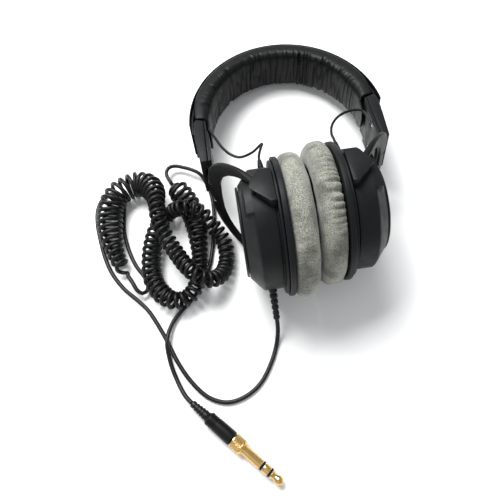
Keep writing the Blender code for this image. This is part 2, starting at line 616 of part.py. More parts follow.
def build_housing(side, sign, frame, band):
    half = HOUSING_WIDTH / 2
    low, high = HOUSING_V
    block = bmesh.new()
    outline = [(HOUSING_U, low), (66.6, low), (68.6, 72.0), (68.8, 88.0), (66.8, high), (HOUSING_U, 89.4)]
    rings = []
    for w in (-half, half):
        rings.append([block.verts.new((u, v, w)) for u, v in outline])
    bridge(block, rings)
    bevel_all(block, 0.9, 30)
    housing = make_object(side + "_housing_outer", mirror_u(block, sign), CHARCOAL, frame)
    lid_bm = bmesh.new()
    outline = [(LID_U[0], low + 0.4), (LID_U[1], low), (LID_U[1], 89.2), (59.7, 88.8), (59.7, 79.0),
               (LID_U[0], 76.4)]
    rings = []
    for w in (-half, half):
        rings.append([lid_bm.verts.new((u, v, w)) for u, v in outline])
    bridge(lid_bm, rings)
    bevel_all(lid_bm, 0.4)
    lid = make_object(side + "_housing_lid", mirror_u(lid_bm, sign), CHARCOAL, frame)

    channel = add_box(bmesh.new(), (60.5, low - 2, -7.6), (CHANNEL_DEPTH_U, 86.5, 7.6))
    add_boolean(housing, make_cutter(side + "_channel", mirror_u(channel, sign), frame))
    pocket = add_box(bmesh.new(), (63.0, 57.0, -3.4), (65.6, 75.0, 3.4))
    add_boolean(housing, make_cutter(side + "_spring_pocket", mirror_u(pocket, sign), frame))

    leaf = [(65.3, 57.8), (65.3, 59.4), (63.9, 64.6), (63.9, 67.4), (65.3, 72.6), (65.3, 74.2),
            (65.0, 74.2), (65.0, 72.5), (63.6, 67.5), (63.6, 64.5), (65.0, 59.5), (65.0, 57.8)]
    spring = add_prism(bmesh.new(), leaf, 2, -2.6, 2.6)
    make_object(side + "_detent_spring", mirror_u(spring, sign), SPRING_STEEL, frame)

    holes = bmesh.new()
    for place, w in (("upper", 11.5), ("lower", -11.5)):
        bore = [(0, 2.4), (2.3, 2.4), (2.3, 1.3), (7.4, 1.3)]
        add_turned_rod(holes, (57.5, LID_SCREW_V, w), (1, 0, 0), bore, 10)
        shape = [(0, 2.0), (0.8, 2.0), (0.8, 1.0), (5.8, 1.0)]
        screw = add_turned_rod(bmesh.new(), (58.7, LID_SCREW_V, w), (1, 0, 0), shape, 10)
        make_object(side + "_lid_screw_" + place, mirror_u(screw, sign), STEEL, frame)
    cutter = make_cutter(side + "_lid_holes", mirror_u(holes, sign), frame)
    add_boolean(housing, cutter)
    add_boolean(lid, cutter)

    hole = add_rod(bmesh.new(), (65.6, RIVET_V, 0), (74.0, RIVET_V, 0), 2.3, 12)
    cutter = make_cutter(side + "_rivet_hole", mirror_u(hole, sign), frame)
    add_boolean(housing, cutter)
    add_boolean(band, cutter)
    rivet = add_rod(bmesh.new(), (65.9, RIVET_V, 0), (70.5, RIVET_V, 0), 2.0, 12)
    make_object(side + "_band_rivet", mirror_u(rivet, sign), STEEL, frame)


# -------------------------------------------------------------------------------- cord and plug

def build_plug():
    """A screw-on adapter plug on a moulded body, lying on the table."""
    def piece(name, profile, look, segments=16):
        make_object(name, add_turned_rod(bmesh.new(), PLUG_START, PLUG_AXIS, profile, segments), look, None)

    piece("plug_boot", [(0.3, 2.2), (4, 2.4), (9, 3.0), (14.2, 3.3)], RUBBER)
    piece("plug_body", [(14.5, 4.0), (15.2, 4.6), (34.6, 4.9), (35.2, 4.5)], SATIN_BLACK, 18)
    piece("plug_adapter", [(35.5, 4.4), (36.2, 4.9), (43.4, 4.9), (44.2, 4.4), (44.8, 4.4), (44.8, 3.15),
                           (58.8, 3.15)], GOLD, 18)
    piece("plug_ring_sleeve", [(59.1, 3.15), (60.5, 3.15)], INSULATOR, 18)
    piece("plug_ring_contact", [(60.8, 3.15), (65.0, 3.15)], GOLD, 18)
    piece("plug_ring_tip", [(65.3, 3.15), (66.7, 3.15)], INSULATOR, 18)
    piece("plug_tip", [(67.0, 3.0), (68.4, 2.1), (69.6, 2.0), (72.4, 3.1), (73.6, 2.9), (75.4, 1.4),
                       (76.0, 0.6)], GOLD, 18)


def past_relief(tilt_axis, distance):
    """A point in table millimetres, this far past the end of the cord's strain relief."""
    reach = RELIEF_R[1] + distance
    local = Vector((math.cos(RELIEF_ANGLE) * reach, -math.sin(RELIEF_ANGLE) * reach, RELIEF_Z - PIVOT_U))
    return tilt_axis.matrix_world @ (local * MM) / MM


def to_table(route):
    return [(x, y - ORIGIN_Y, z) for x, y, z in route]


def main():
    clear_scene()
    frame = make_empty("rest_frame", (0, -ORIGIN_Y, REST_HEIGHT), Matrix.Rotation(-REST_TILT, 3, "X"))
    build_cushion(frame)
    band = build_band(frame)
    for side, sign in (("left", -1), ("right", 1)):
        v0 = -LEFT_EXTENSION if sign < 0 else 0.0
        w0 = -LEFT_DROP if sign < 0 else 0.0
        build_housing(side, sign, frame, band)
        slide_origin = Vector((sign * STEM_U, v0 + 46.0, w0))
        slide = make_empty(side + "_slide_axis", slide_origin, None, frame)
        build_fork(side, sign, slide, slide_origin, v0, w0)
        turn = Matrix(((0, 0, sign), (1, 0, 0), (0, sign, 0)))
        pivot = Vector((sign * PIVOT_U, v0, w0))
        cup = make_empty(side + "_tilt_axis", pivot - slide_origin, turn, slide)
        build_cup(side, sign, cup)
        if sign < 0:
            start = [past_relief(cup, GAP + 0.05), past_relief(cup, 3.4)]
    make_tube("left_cross_lead", LEFT_LEAD, LEAD_R, 4.2, RUBBER, frame)
    make_tube("right_cross_lead", RIGHT_LEAD, LEAD_R, 4.2, RUBBER, frame)
    make_tube("cord_main", start + to_table(MAIN_ROUTE), CORD_R, 8.5, RUBBER)
    make_tube("cord_coil", to_table(COIL_ROUTE), COIL_R, 10.5, RUBBER)
    make_tube("cord_tail", to_table(TAIL_ROUTE), CORD_R, 8.5, RUBBER)
    build_plug()


main()
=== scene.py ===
"""Looks of closed-back studio headphones with a coiled cord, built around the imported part.

Shapes are made in millimetres in the part's own frames and placed in metres.
* Rest frame: u across the head, v from the cups up to the top of the band, w across the band.
* Cup frame: x along v, y along w, z outward from the plane where the two pads meet.
* Table frame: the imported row's axes.
"""
import json
import math

import bmesh
import bpy
from mathutils import Matrix, Vector, noise


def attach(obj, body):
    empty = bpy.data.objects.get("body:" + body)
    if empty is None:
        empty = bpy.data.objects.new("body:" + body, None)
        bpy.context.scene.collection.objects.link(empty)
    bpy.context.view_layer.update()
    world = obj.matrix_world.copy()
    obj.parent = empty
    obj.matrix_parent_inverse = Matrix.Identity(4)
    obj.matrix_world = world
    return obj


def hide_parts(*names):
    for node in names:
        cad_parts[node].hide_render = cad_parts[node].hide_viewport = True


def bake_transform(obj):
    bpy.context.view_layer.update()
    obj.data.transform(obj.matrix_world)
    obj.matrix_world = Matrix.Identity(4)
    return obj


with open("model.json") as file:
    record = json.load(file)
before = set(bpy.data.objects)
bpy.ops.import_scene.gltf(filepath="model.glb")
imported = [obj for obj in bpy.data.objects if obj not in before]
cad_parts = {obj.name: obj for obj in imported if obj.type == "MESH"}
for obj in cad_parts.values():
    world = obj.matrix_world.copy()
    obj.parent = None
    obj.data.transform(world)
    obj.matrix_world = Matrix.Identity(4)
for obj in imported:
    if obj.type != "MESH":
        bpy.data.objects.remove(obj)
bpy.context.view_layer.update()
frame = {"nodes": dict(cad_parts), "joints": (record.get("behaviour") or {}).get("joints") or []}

MM = 0.001
TINY = 1e-6
JOINTS = {joint["name"]: joint for joint in frame["joints"]}
ALONG = -Vector(JOINTS["right_slide"]["axis"])
ACROSS = Vector(JOINTS["right_tilt"]["axis"])
SIDES = (("left", -1), ("right", 1))

# Cups, in the cup frame.
PIVOT_Z = 30.0
RIM_R = 44.0
SHELL_R = 40.0
CONE = ((36.0, 40.0), (37.2, 38.8), (44.0, 30.6))  # (z, radius) from the cylinder to the cap
LAND_X = (-14.5, 13.5)  # the raised land behind each pivot cover
LAND_Z = (41.0, 42.2)
PAD_LIMIT_Z = (0.3, 16.35)
PAD_LIMIT_R = (27.4, 48.9)
RELIEF_ANGLE = math.radians(225)
RELIEF_R = (40.3, 62.8)
RELIEF_Z = 30.4
LEAD_RELIEF = (34.0, 21.0, 26.5)

# Forks and headband, in the rest frame.
STEM_U = 62.3
LEAN = 0.77
BAND_CENTRE_V = 86.0
BAND_A = 72.0
BAND_B = 85.0
CUSHION_END_V = 95.0
LEFT_SHIFT = Vector((0.0, -5.0, -0.9087))  # the left slider's place at rest

# Cord and plug, in the table frame.
CORD_R = 1.5
LEAD_R = 0.95
HELIX_R = 4.8
TURN_POINTS = 16
PLUG_AXIS = Vector((0.676, -0.737, 0.0))
TABLE_Y = 58.93
PLUG_START = Vector((-94.7, -102.2 - TABLE_Y, 5.0))

# The camera and the stage, in metres: the camera's place and its right, up and back directions.
CAMERA_PLACE = (-0.046199, -0.203841, 0.337418)
CAMERA_AXES = ((0.98871566, -0.14217734, -0.04719054), (0.14915504, 0.90501202, 0.39837924),
               (-0.0139325, -0.4009225, 0.91600602))
LIGHT_TARGET = Vector((-0.03, -0.02, 0.03))
FLOOR_HALF = 3.0
CLOTH_FRAMES = 20

# The cord's route from the strain relief to the plug: the part's own points, before TABLE_Y.
MAIN_ROUTE = (
    (-30.7, -63, 7.4), (-31.6, -67, 3.9), (-33.6, -73, 1.7), (-38.4, -83, 1.6), (-46.8, -94.8, 1.6),
    (-57.6, -102.3, 1.6), (-70.8, -105, 1.6), (-83.5, -100, 1.6), (-94, -88.3, 1.6),
    (-102.2, -73.7, 1.6), (-108.8, -57, 1.6), (-115, -43.4, 1.6), (-121, -32.5, 1.6),
    (-129, -23, 1.6), (-138, -13, 1.6), (-146, 0, 1.6), (-151, 14, 1.6), (-154.2, 29, 1.6),
    (-156.2, 42.6, 1.6), (-156, 55, 1.6), (-152.5, 64, 1.6), (-146.5, 69, 1.6), (-140, 67.5, 1.6),
    (-135.6, 60, 1.6), (-135, 48.3, 1.6), (-135.4, 33.2, 1.6), (-132.6, 17.5, 1.6), (-128, 4, 1.6),
    (-122.8, -5, 1.6), (-119.8, -12, 2.4), (-119.4, -17.6, 3.8), (-122.6, -21, 5.4),
    (-126.4, -18.6, 6.8), (-129.1, -12.9, 7.4), (-131.44, -8.51, 7.4))
COIL_ROUTE = (
    (-131.6, -8.2, 7.4), (-137.3, 2.6, 7.2), (-141.6, 15.1, 7), (-143.6, 28.2, 7),
    (-143.8, 41.2, 8), (-142.2, 53, 10), (-136.8, 62, 10.6), (-128.7, 67.2, 10), (-120, 68.6, 9.4),
    (-112, 64.6, 12), (-107, 54.5, 16.5), (-105.2, 42.5, 21.2), (-104.6, 30.5, 22.8),
    (-102.2, 19.3, 22), (-98.2, 9.4, 21), (-93.3, -1, 21), (-87.7, -11.3, 22.5),
    (-80.7, -20.6, 24.6), (-72.2, -23.5, 19.8), (-64.4, -18.2, 12), (-60, -8.4, 7), (-58.6, 2.6, 7),
    (-60.6, 12.4, 8.4), (-66, 21.6, 12.6), (-72, 29, 18.8), (-78.8, 33.4, 22), (-86.8, 36, 20.5),
    (-95.5, 39.5, 11.5), (-102.4, 37, 7.4), (-107.6, 30, 7), (-111.6, 19.6, 7), (-114, 8.5, 7),
    (-114.8, -3.5, 7), (-113, -16, 8), (-106.6, -26.8, 10), (-97.6, -32.4, 10.8),
    (-88.6, -30, 10.8), (-82.4, -21.4, 10.4), (-79.4, -10.4, 8.6), (-78.6, 1.4, 7), (-78.4, 14, 7),
    (-78.6, 26.7, 7), (-81.3, 40, 7), (-86.2, 52.5, 7), (-91.8, 61.5, 7), (-95.6, 69, 7.4))
TAIL_ROUTE = (
    (-95.76, 69.31, 7.42), (-97.6, 73.6, 7.6), (-97.9, 78, 7.4), (-95.4, 82.2, 7),
    (-90.4, 83.4, 6.2), (-84, 81, 6), (-77.5, 77, 7), (-71.5, 72.6, 6), (-67.3, 65, 3),
    (-65, 56.5, 1.6), (-64.2, 45.2, 1.6), (-65, 32, 1.6), (-67, 19.3, 1.6), (-69.6, 5.5, 1.6),
    (-73, -6.5, 1.6), (-79.5, -18.5, 1.6), (-88, -29.5, 1.6), (-97.2, -38, 1.8), (-104.2, -47, 3.4),
    (-108, -59, 5.2), (-107.2, -73, 2.6), (-103.6, -86, 1.8), (-99.2, -96.2, 3.4),
    (-94.95, -101.93, 5))
# How far apart the curls are, in millimetres, at shares of the curly stretch's length.
COIL_PITCH = (
    (0.0, 5.6), (0.05, 5.2), (0.12, 4.8), (0.2, 4.9), (0.27, 5.2), (0.34, 4.7), (0.45, 4.5),
    (0.52, 5.0), (0.6, 4.6), (0.68, 4.9), (0.76, 4.6), (0.86, 4.7), (0.93, 5.0), (1.0, 5.4))
# Curls pulled wider than the rest: four shares for the rise and the fall, and the growth.
FANS = ((0.03, 0.1, 0.2, 0.26, 0.8), (0.86, 0.93, 0.985, 1.0, 0.6), (0.6, 0.66, 0.74, 0.8, 0.25))
RAMP = 14.0  # the length over which the curls open and close
TIGHTEST = 4.9  # the curls' smallest bend radius
# The lead between each housing and cup, in the rest frame, in millimetres.
LEADS = {
    "left": ((-26.5, 37.6, 20.1), (-26.2, 41, 19.6), (-25, 46, 18.8), (-23, 52, 18),
             (-22, 54.6, 17.8), (-24, 53.4, 17.6), (-30, 48, 17.4), (-38.5, 45.6, 17),
             (-45, 50, 16.6), (-50, 58.5, 16), (-54, 69.5, 15), (-56.8, 78, 14.2), (-58, 81.8, 14)),
    "right": ((26.5, 42.6, 21), (26.3, 46, 21), (26, 51, 20.8), (28, 59, 20.4), (33, 66.5, 20),
              (40, 72, 19), (47.5, 74.5, 18), (53.5, 74, 17), (56.4, 70, 16), (57.1, 65.5, 15),
              (57.2, 62, 14))}
LEAD_APEX = 4  # the route point where a lead is split in two


# ---- frames

def axes_matrix(origin, x_axis, y_axis, z_axis):
    """Millimetres along three axes, to metres in the row frame."""
    turn = Matrix((x_axis, y_axis, z_axis)).transposed().to_4x4()
    return Matrix.Translation(origin) @ turn @ Matrix.Scale(MM, 4)


def on_centre_plane(joint):
    point = Vector(JOINTS[joint]["pos_m"])
    point.x = 0.0
    return point


REST = axes_matrix(on_centre_plane("right_tilt"), Vector((1, 0, 0)), ALONG, ACROSS)
TABLE = Matrix.Scale(MM, 4)
CUPS = {side: axes_matrix(on_centre_plane(side + "_tilt"), ALONG, ACROSS * sign, (sign, 0, 0))
        for side, sign in SIDES}


# ---- materials

def shader_of(look):
    return look.node_tree.nodes["Principled BSDF"]


def start_material(name, colour, roughness, metallic=0.0, specular=0.5):
    look = bpy.data.materials.new(name)
    look.use_nodes = True
    for socket, value in (("Base Color", (*colour, 1.0)), ("Roughness", roughness),
                          ("Metallic", metallic), ("Specular IOR Level", specular)):
        shader_of(look).inputs[socket].default_value = value
    return look


def join(look, source, target):
    look.node_tree.links.new(source, target)


def new_node(look, kind, values=None, sources=None):
    """A node with values on some of its inputs and other nodes' outputs on others."""
    node = look.node_tree.nodes.new("ShaderNode" + kind)
    for socket, value in (values or {}).items():
        node.inputs[socket].default_value = value
    for socket, source in (sources or {}).items():
        join(look, source, node.inputs[socket])
    return node


def add_noise(look, scale, detail=4.0, stretch=(1.0, 1.0, 1.0)):
    """Noise in object space. The scale counts per metre."""
    place = new_node(look, "TexCoord")
    mapping = new_node(look, "Mapping", {"Scale": stretch},
                       {"Vector": place.outputs["Object"]})
    texture = new_node(look, "TexNoise", {"Scale": scale, "Detail": detail},
                       {"Vector": mapping.outputs["Vector"]})
    return texture.outputs["Fac"]


def add_ramp(look, source, low, high, low_at=0.3, high_at=0.7):
    ramp = new_node(look, "ValToRGB", sources={"Fac": source})
    stops = ramp.color_ramp.elements
    for stop, place, colour in zip(stops, (low_at, high_at), (low, high)):
        stop.position = place
        stop.color = (*colour, 1.0)
    return ramp.outputs["Color"]


def mix_colours(look, first, second, factor, mode):
    """Two colours mixed; the second and the factor may be plain values."""
    mix = new_node(look, "Mix")
    mix.data_type = "RGBA"
    mix.blend_type = mode
    for socket, source in (("Factor", factor), ("A", first), ("B", second)):
        if isinstance(source, bpy.types.NodeSocket):
            join(look, source, mix.inputs[socket])
        else:
            mix.inputs[socket].default_value = source
    return mix.outputs["Result"]


def set_colour(look, source):
    join(look, source, shader_of(look).inputs["Base Color"])


def set_roughness(look, source, low, high):
    ranges = {"From Min": 0.3, "From Max": 0.7, "To Min": low, "To Max": high}
    spread = new_node(look, "MapRange", ranges, {"Value": source})
    join(look, spread.outputs["Result"], shader_of(look).inputs["Roughness"])


def add_bump(look, source, strength, distance):
    """Bumps chain: each new one is laid over the last."""
    target = shader_of(look).inputs["Normal"]
    bump = new_node(look, "Bump", {"Strength": strength, "Distance": distance},
                    {"Height": source})
    if target.is_linked:
        join(look, target.links[0].from_socket, bump.inputs["Normal"])
    join(look, bump.outputs["Normal"], target)


def add_edge_wear_and_highlight(look, worn_and_lit):
    """Lightens raised edges: partly wear where handling has rubbed them, partly a painted highlight
    where edges catch the light.
    """
    edges = new_node(look, "NewGeometry")
    mask = add_ramp(look, edges.outputs["Pointiness"], (0, 0, 0), (1, 1, 1), 0.56, 0.7)
    base = shader_of(look).inputs["Base Color"].links[0].from_socket
    set_colour(look, mix_colours(look, base, (*worn_and_lit, 1.0), mask, "MIX"))


def brighter(colour, times):
    return tuple(value * times for value in colour)


def moulded_plastic(name, dark, light, roughness, grain=0.25):
    look = start_material(name, dark, roughness, specular=0.17)
    set_colour(look, add_ramp(look, add_noise(look, 45.0, 3.0), dark, light))
    # Raised edges painted lighter: partly wear, partly a painted edge highlight.
    add_edge_wear_and_highlight(look, brighter(light, 1.8))
    set_roughness(look, add_noise(look, 160.0, 5.0), roughness - 0.06, roughness + 0.08)
    add_bump(look, add_noise(look, 3800.0, 2.0), grain, 0.00012)
    return look


def velour():
    look = start_material("velour_pile", (0.45, 0.44, 0.38), 0.95, specular=0.15)
    shader_of(look).inputs["Sheen Weight"].default_value = 0.35
    shader_of(look).inputs["Sheen Roughness"].default_value = 0.5
    pile = add_ramp(look, add_noise(look, 2100.0, 3.0), (0.1, 0.102, 0.088), (0.4, 0.4, 0.34),
                    0.38, 0.62)
    brushed = add_ramp(look, add_noise(look, 70.0, 3.0), (0.5, 0.51, 0.5), (1, 1, 1), 0.4, 0.58)
    set_colour(look, mix_colours(look, pile, brushed, 1.0, "MULTIPLY"))
    add_bump(look, add_noise(look, 420.0, 3.0), 0.35, 0.0008)
    add_bump(look, add_noise(look, 2200.0, 2.0), 0.55, 0.0005)
    return look


def leatherette():
    look = start_material("grained_leatherette", (0.005, 0.0055, 0.006), 0.42, specular=0.2)
    set_colour(look, add_ramp(look, add_noise(look, 60.0, 3.0), (0.0015, 0.0018, 0.002),
                              (0.004, 0.0044, 0.0048)))
    set_roughness(look, add_noise(look, 220.0, 4.0), 0.36, 0.52)
    place = new_node(look, "TexCoord")
    cells = new_node(look, "TexVoronoi", {"Scale": 1100.0},
                     {"Vector": place.outputs["Object"]})
    cells.feature = "DISTANCE_TO_EDGE"
    add_bump(look, cells.outputs["Distance"], 0.35, 0.0002)
    return look


def rubber(name, colour, roughness):
    look = start_material(name, colour, roughness, specular=0.3)
    fine = add_noise(look, 900.0, 3.0)
    set_colour(look, add_ramp(look, add_noise(look, 90.0), colour, brighter(colour, 1.8)))
    set_roughness(look, fine, roughness - 0.08, roughness + 0.08)
    add_bump(look, fine, 0.12, 0.00008)
    return look


def metal(name, colour, roughness, grain=(1.0, 1.0, 14.0)):
    look = start_material(name, colour, roughness, 1.0)
    brushed = add_noise(look, 500.0, 4.0, grain)
    set_colour(look, add_ramp(look, brushed, brighter(colour, 0.82), colour))
    set_roughness(look, add_noise(look, 260.0, 4.0), roughness - 0.07, roughness + 0.1)
    add_bump(look, brushed, 0.08, 0.00005)
    return look


def porous(name, dark, light, scale):
    look = start_material(name, dark, 1.0)
    grain = add_noise(look, scale, 5.0)
    set_colour(look, add_ramp(look, grain, dark, light, 0.4, 0.65))
    add_bump(look, grain, 0.8, 0.0006)
    return look


def clear_film():
    look = start_material("driver_film", (0.55, 0.6, 0.62), 0.22)
    rings = add_noise(look, 300.0, 3.0)
    set_roughness(look, rings, 0.15, 0.3)
    add_bump(look, rings, 0.2, 0.0002)
    return look


MATERIALS = {
    "charcoal_plastic": moulded_plastic("charcoal_shell", (0.0045, 0.0055, 0.006),
                                        (0.0075, 0.0088, 0.009), 0.44),
    "black_plastic": moulded_plastic("black_moulding", (0.004, 0.004, 0.0045),
                                     (0.006, 0.006, 0.0065), 0.34),
    "velour": velour(),
    "foam": porous("open_foam", (0.008, 0.008, 0.008), (0.03, 0.03, 0.03), 1600.0),
    "felt": porous("pressed_felt", (0.4, 0.39, 0.36), (0.62, 0.61, 0.57), 900.0),
    "leatherette": leatherette(),
    "fork_metal": moulded_plastic("satin_black_enamel", (0.002, 0.002, 0.0024),
                                  (0.0035, 0.0035, 0.004), 0.52, 0.1),
    "screw_steel": metal("plated_steel", (0.5, 0.5, 0.52), 0.3),
    "spring_steel": metal("blued_spring_steel", (0.03, 0.03, 0.035), 0.5),
    "grille_steel": metal("grille_sheet", (0.5, 0.5, 0.52), 0.34),
    "magnet_iron": metal("magnet_pot", (0.12, 0.12, 0.13), 0.45),
    "film": clear_film(),
    "cord_rubber": rubber("cord_jacket", (0.003, 0.003, 0.0035), 0.42),
    "plug_gold": metal("gold_plating", (0.78, 0.52, 0.2), 0.22, (3.0, 3.0, 3.0)),
}


# ---- mesh helpers

def turns(count):
    """Angles evenly spaced round a circle."""
    return [2 * math.pi * k / count for k in range(count)]


def ripple(x, y, z, seed=Vector()):
    return noise.noise(Vector((x, y, z)) + seed)


def rectangle(a, b, half_a, half_b):
    """The outline of a rectangle round the point (a, b)."""
    return [(a + i * half_a, b + j * half_b) for i, j in ((-1, -1), (1, -1), (1, 1), (-1, 1))]


def bridge(bm, rings):
    """Joins rings of vertices with quads and caps the ends."""
    count = len(rings[0])
    for first, second in zip(rings, rings[1:]):
        for i in range(count):
            j = (i + 1) % count
            bm.faces.new((first[i], first[j], second[j], second[i]))
    bm.faces.new(rings[0])
    bm.faces.new(rings[-1])
    return bm


def lathe(profile, segments, reach=None):
    """Turns a closed (radius, z) outline round z; reach(angle, radius, z) may change its radius."""
    bm = bmesh.new()
    poles = {}
    spokes = []
    for angle in turns(segments):
        spoke = []
        for index, (radius, z) in enumerate(profile):
            if radius < TINY:
                if index not in poles:
                    poles[index] = bm.verts.new((0, 0, z))
                spoke.append(poles[index])
                continue
            size = reach(angle, radius, z) if reach else radius
            spoke.append(bm.verts.new((size * math.cos(angle), size * math.sin(angle), z)))
        spokes.append(spoke)
    for first, second in zip(spokes, spokes[1:] + spokes[:1]):
        for i in range(len(profile)):
            j = (i + 1) % len(profile)
            corners = list(dict.fromkeys((first[i], first[j], second[j], second[i])))
            if len(corners) > 2:
                bm.faces.new(corners)
    return bm


def rounded(outline, radius, steps=3):
    """Rounds each corner of a closed 2-D outline."""
    result = []
    count = len(outline)
    for i, corner in enumerate(outline):
        corner = Vector(corner)
        before = Vector(outline[i - 1]) - corner
        after = Vector(outline[(i + 1) % count]) - corner
        if before.length < TINY or after.length < TINY or abs(corner.x) < TINY:
            result.append(tuple(corner))
            continue
        size = min(radius, before.length * 0.45, after.length * 0.45)
        start, end = corner + before.normalized() * size, corner + after.normalized() * size
        for k in range(steps + 1):
            t = k / steps
            result.append(tuple(start * (1 - t) ** 2 + corner * 2 * t * (1 - t) + end * t ** 2))
    return result


def turned(start, axis, profile, segments, shape=None):
    """A turned piece along any axis; shape(angle, distance, radius) may change its radius."""
    start, axis = Vector(start), Vector(axis).normalized()
    side = axis.orthogonal().normalized()
    other = axis.cross(side)
    bm = bmesh.new()
    rings = []
    for distance, radius in profile:
        ring = []
        for angle in turns(segments):
            size = shape(angle, distance, radius) if shape else radius
            spoke = math.cos(angle) * side + math.sin(angle) * other
            ring.append(bm.verts.new(start + distance * axis + size * spoke))
        rings.append(ring)
    return bridge(bm, rings)


def prism(outline, axis, low, high):
    """Extrudes a flat outline along the axis with the given index."""
    bm = bmesh.new()
    return bridge(bm, [[bm.verts.new((*point[:axis], level, *point[axis:])) for point in outline]
                       for level in (low, high)])


def tube(points, radius, sides):
    """A round tube along closely spaced points, capped flat at both ends, and no twist."""
    bm = bmesh.new()
    rings = []
    side = None
    last = len(points) - 1
    for i, point in enumerate(points):
        along = (points[min(i + 1, last)] - points[max(i - 1, 0)]).normalized()
        side = along.orthogonal() if side is None else side - along * side.dot(along)
        side.normalize()
        other = along.cross(side)
        spokes = [math.cos(angle) * side + math.sin(angle) * other for angle in turns(sides)]
        rings.append([bm.verts.new(point + radius * spoke) for spoke in spokes])
    return bridge(bm, rings)


def interpolated(stations, steps):
    """Smooth stations between given ones, each a tuple of numbers."""
    result = []
    last = len(stations) - 1
    for i in range(last):
        before, after = stations[max(i - 1, 0)], stations[min(i + 2, last)]
        for k in range(steps):
            t = k / steps
            result.append(tuple(
                s * (2 * t ** 3 - 3 * t ** 2 + 1) + (e - b) * 0.5 * (t ** 3 - 2 * t ** 2 + t)
                + e * (3 * t ** 2 - 2 * t ** 3) + (a - s) * 0.5 * (t ** 3 - t ** 2)
                for b, s, e, a in zip(before, stations[i], stations[i + 1], after)))
    result.append(tuple(stations[-1]))
    return result


def smooth_points(route, spacing):
    """Evenly spaced points on the smooth curve through the route's points."""
    return evenly([Vector(point) for point in interpolated(route, 12)], spacing)


def closed_curve(outline):
    """Points a millimetre apart on the smooth closed curve through the outline's points."""
    steps = 8
    wrapped = outline[-1:] + outline + outline[:2]
    fine = [Vector((*point, 0.0)) for point in interpolated(wrapped, steps)[steps:-steps - 1]]
    return [(point.x, point.y) for point in evenly(fine + fine[:1], 1.0)][:-1]


def evenly(fine, spacing):
    lengths = [0.0]
    for first, second in zip(fine, fine[1:]):
        lengths.append(lengths[-1] + (second - first).length)
    count = max(2, round(lengths[-1] / spacing))
    result = []
    index = 0
    for k in range(count + 1):
        target = lengths[-1] * k / count
        while index < len(fine) - 2 and lengths[index + 1] < target:
            index += 1
        part = (target - lengths[index]) / (lengths[index + 1] - lengths[index])
        result.append(fine[index].lerp(fine[index + 1], min(max(part, 0.0), 1.0)))
    return result


def smoothstep(value, low, high):
    t = min(max((value - low) / (high - low), 0.0), 1.0)
    return t * t * (3 - 2 * t)


def add_object(name, data):
    item = bpy.data.objects.new(name, data)
    bpy.context.collection.objects.link(item)
    return item


def shade(mesh, sharp):
    """Smooth shading, with edges sharper than this many degrees kept."""
    mesh.shade_smooth()
    mesh.set_sharp_from_angle(angle=math.radians(sharp))


def build(name, bm, matrix, slot, sharp=35):
    """A piece from a mesh in millimetres, placed by matrix, with its record slot's material."""
    bmesh.ops.transform(bm, matrix=matrix, verts=bm.verts)
    bmesh.ops.recalc_face_normals(bm, faces=bm.faces)
    mesh = bpy.data.meshes.new(name)
    bm.to_mesh(mesh)
    bm.free()
    shade(mesh, sharp)
    mesh.materials.append(MATERIALS[slot])
    piece = add_object(name, mesh)
    return piece


def apply_modifiers(piece, sharp=35):
    """Replaces the piece's mesh by the evaluated one."""
    graph = bpy.context.evaluated_depsgraph_get()
    mesh = bpy.data.meshes.new_from_object(piece.evaluated_get(graph))
    piece.modifiers.clear()
    piece.data = mesh
    shade(mesh, sharp)
    return piece


def carve(piece, tools, matrix, operation="DIFFERENCE"):
    """Boolean with meshes in millimetres, applied at once."""
    cutters = []
    for bm in tools:
        cutter = build(piece.name + "_tool", bm, matrix, "charcoal_plastic")
        modifier = piece.modifiers.new("boolean", "BOOLEAN")
        modifier.operation = operation
        modifier.solver = "EXACT"
        modifier.object = cutter
        cutters.append(cutter)
    apply_modifiers(piece)
    for cutter in cutters:
        bpy.data.objects.remove(cutter, do_unlink=True)
    return piece


def soften(piece, width, segments, angle):
    """Rounds the piece's edges; the width is in millimetres."""
    modifier = piece.modifiers.new("bevel", "BEVEL")
    modifier.width = width * MM
    modifier.segments = segments
    modifier.limit_method = "ANGLE"
    modifier.angle_limit = math.radians(angle)
    return apply_modifiers(piece, 50)


def inflate(piece, pressure, most):
    """Cloth under pressure without gravity; no point moves further than most millimetres."""
    scene = bpy.context.scene
    start = [vertex.co.copy() for vertex in piece.data.vertices]
    modifier = piece.modifiers.new("cloth", "CLOTH")
    settings = modifier.settings
    settings.use_pressure = True
    settings.uniform_pressure_force = pressure
    settings.tension_stiffness = 15
    settings.compression_stiffness = 15
    settings.bending_stiffness = 0.5
    settings.effector_weights.gravity = 0.0
    modifier.point_cache.frame_end = CLOTH_FRAMES
    for number in range(1, CLOTH_FRAMES + 1):
        scene.frame_set(number)
    graph = bpy.context.evaluated_depsgraph_get()
    moved = [vertex.co.copy() for vertex in piece.evaluated_get(graph).data.vertices]
    piece.modifiers.clear()
    scene.frame_set(1)
    for vertex, before, after in zip(piece.data.vertices, start, moved):
        step = after - before
        if step.length > most * MM:
            step *= most * MM / step.length
        vertex.co = before + step
    return piece


def subdivide(piece):
    modifier = piece.modifiers.new("subdivision", "SUBSURF")
    modifier.levels = modifier.render_levels = 1
    return apply_modifiers(piece, 80)


# ---- cord

def to_table(route):
    return [Vector((x, y - TABLE_Y, z)) for x, y, z in route]


def past_relief(distance):
    """A point this far past the end of the cord's strain relief, in table millimetres."""
    reach = RELIEF_R[1] + distance
    local = Vector((math.cos(RELIEF_ANGLE) * reach, -math.sin(RELIEF_ANGLE) * reach, RELIEF_Z))
    return (CUPS["left"] @ local) / MM


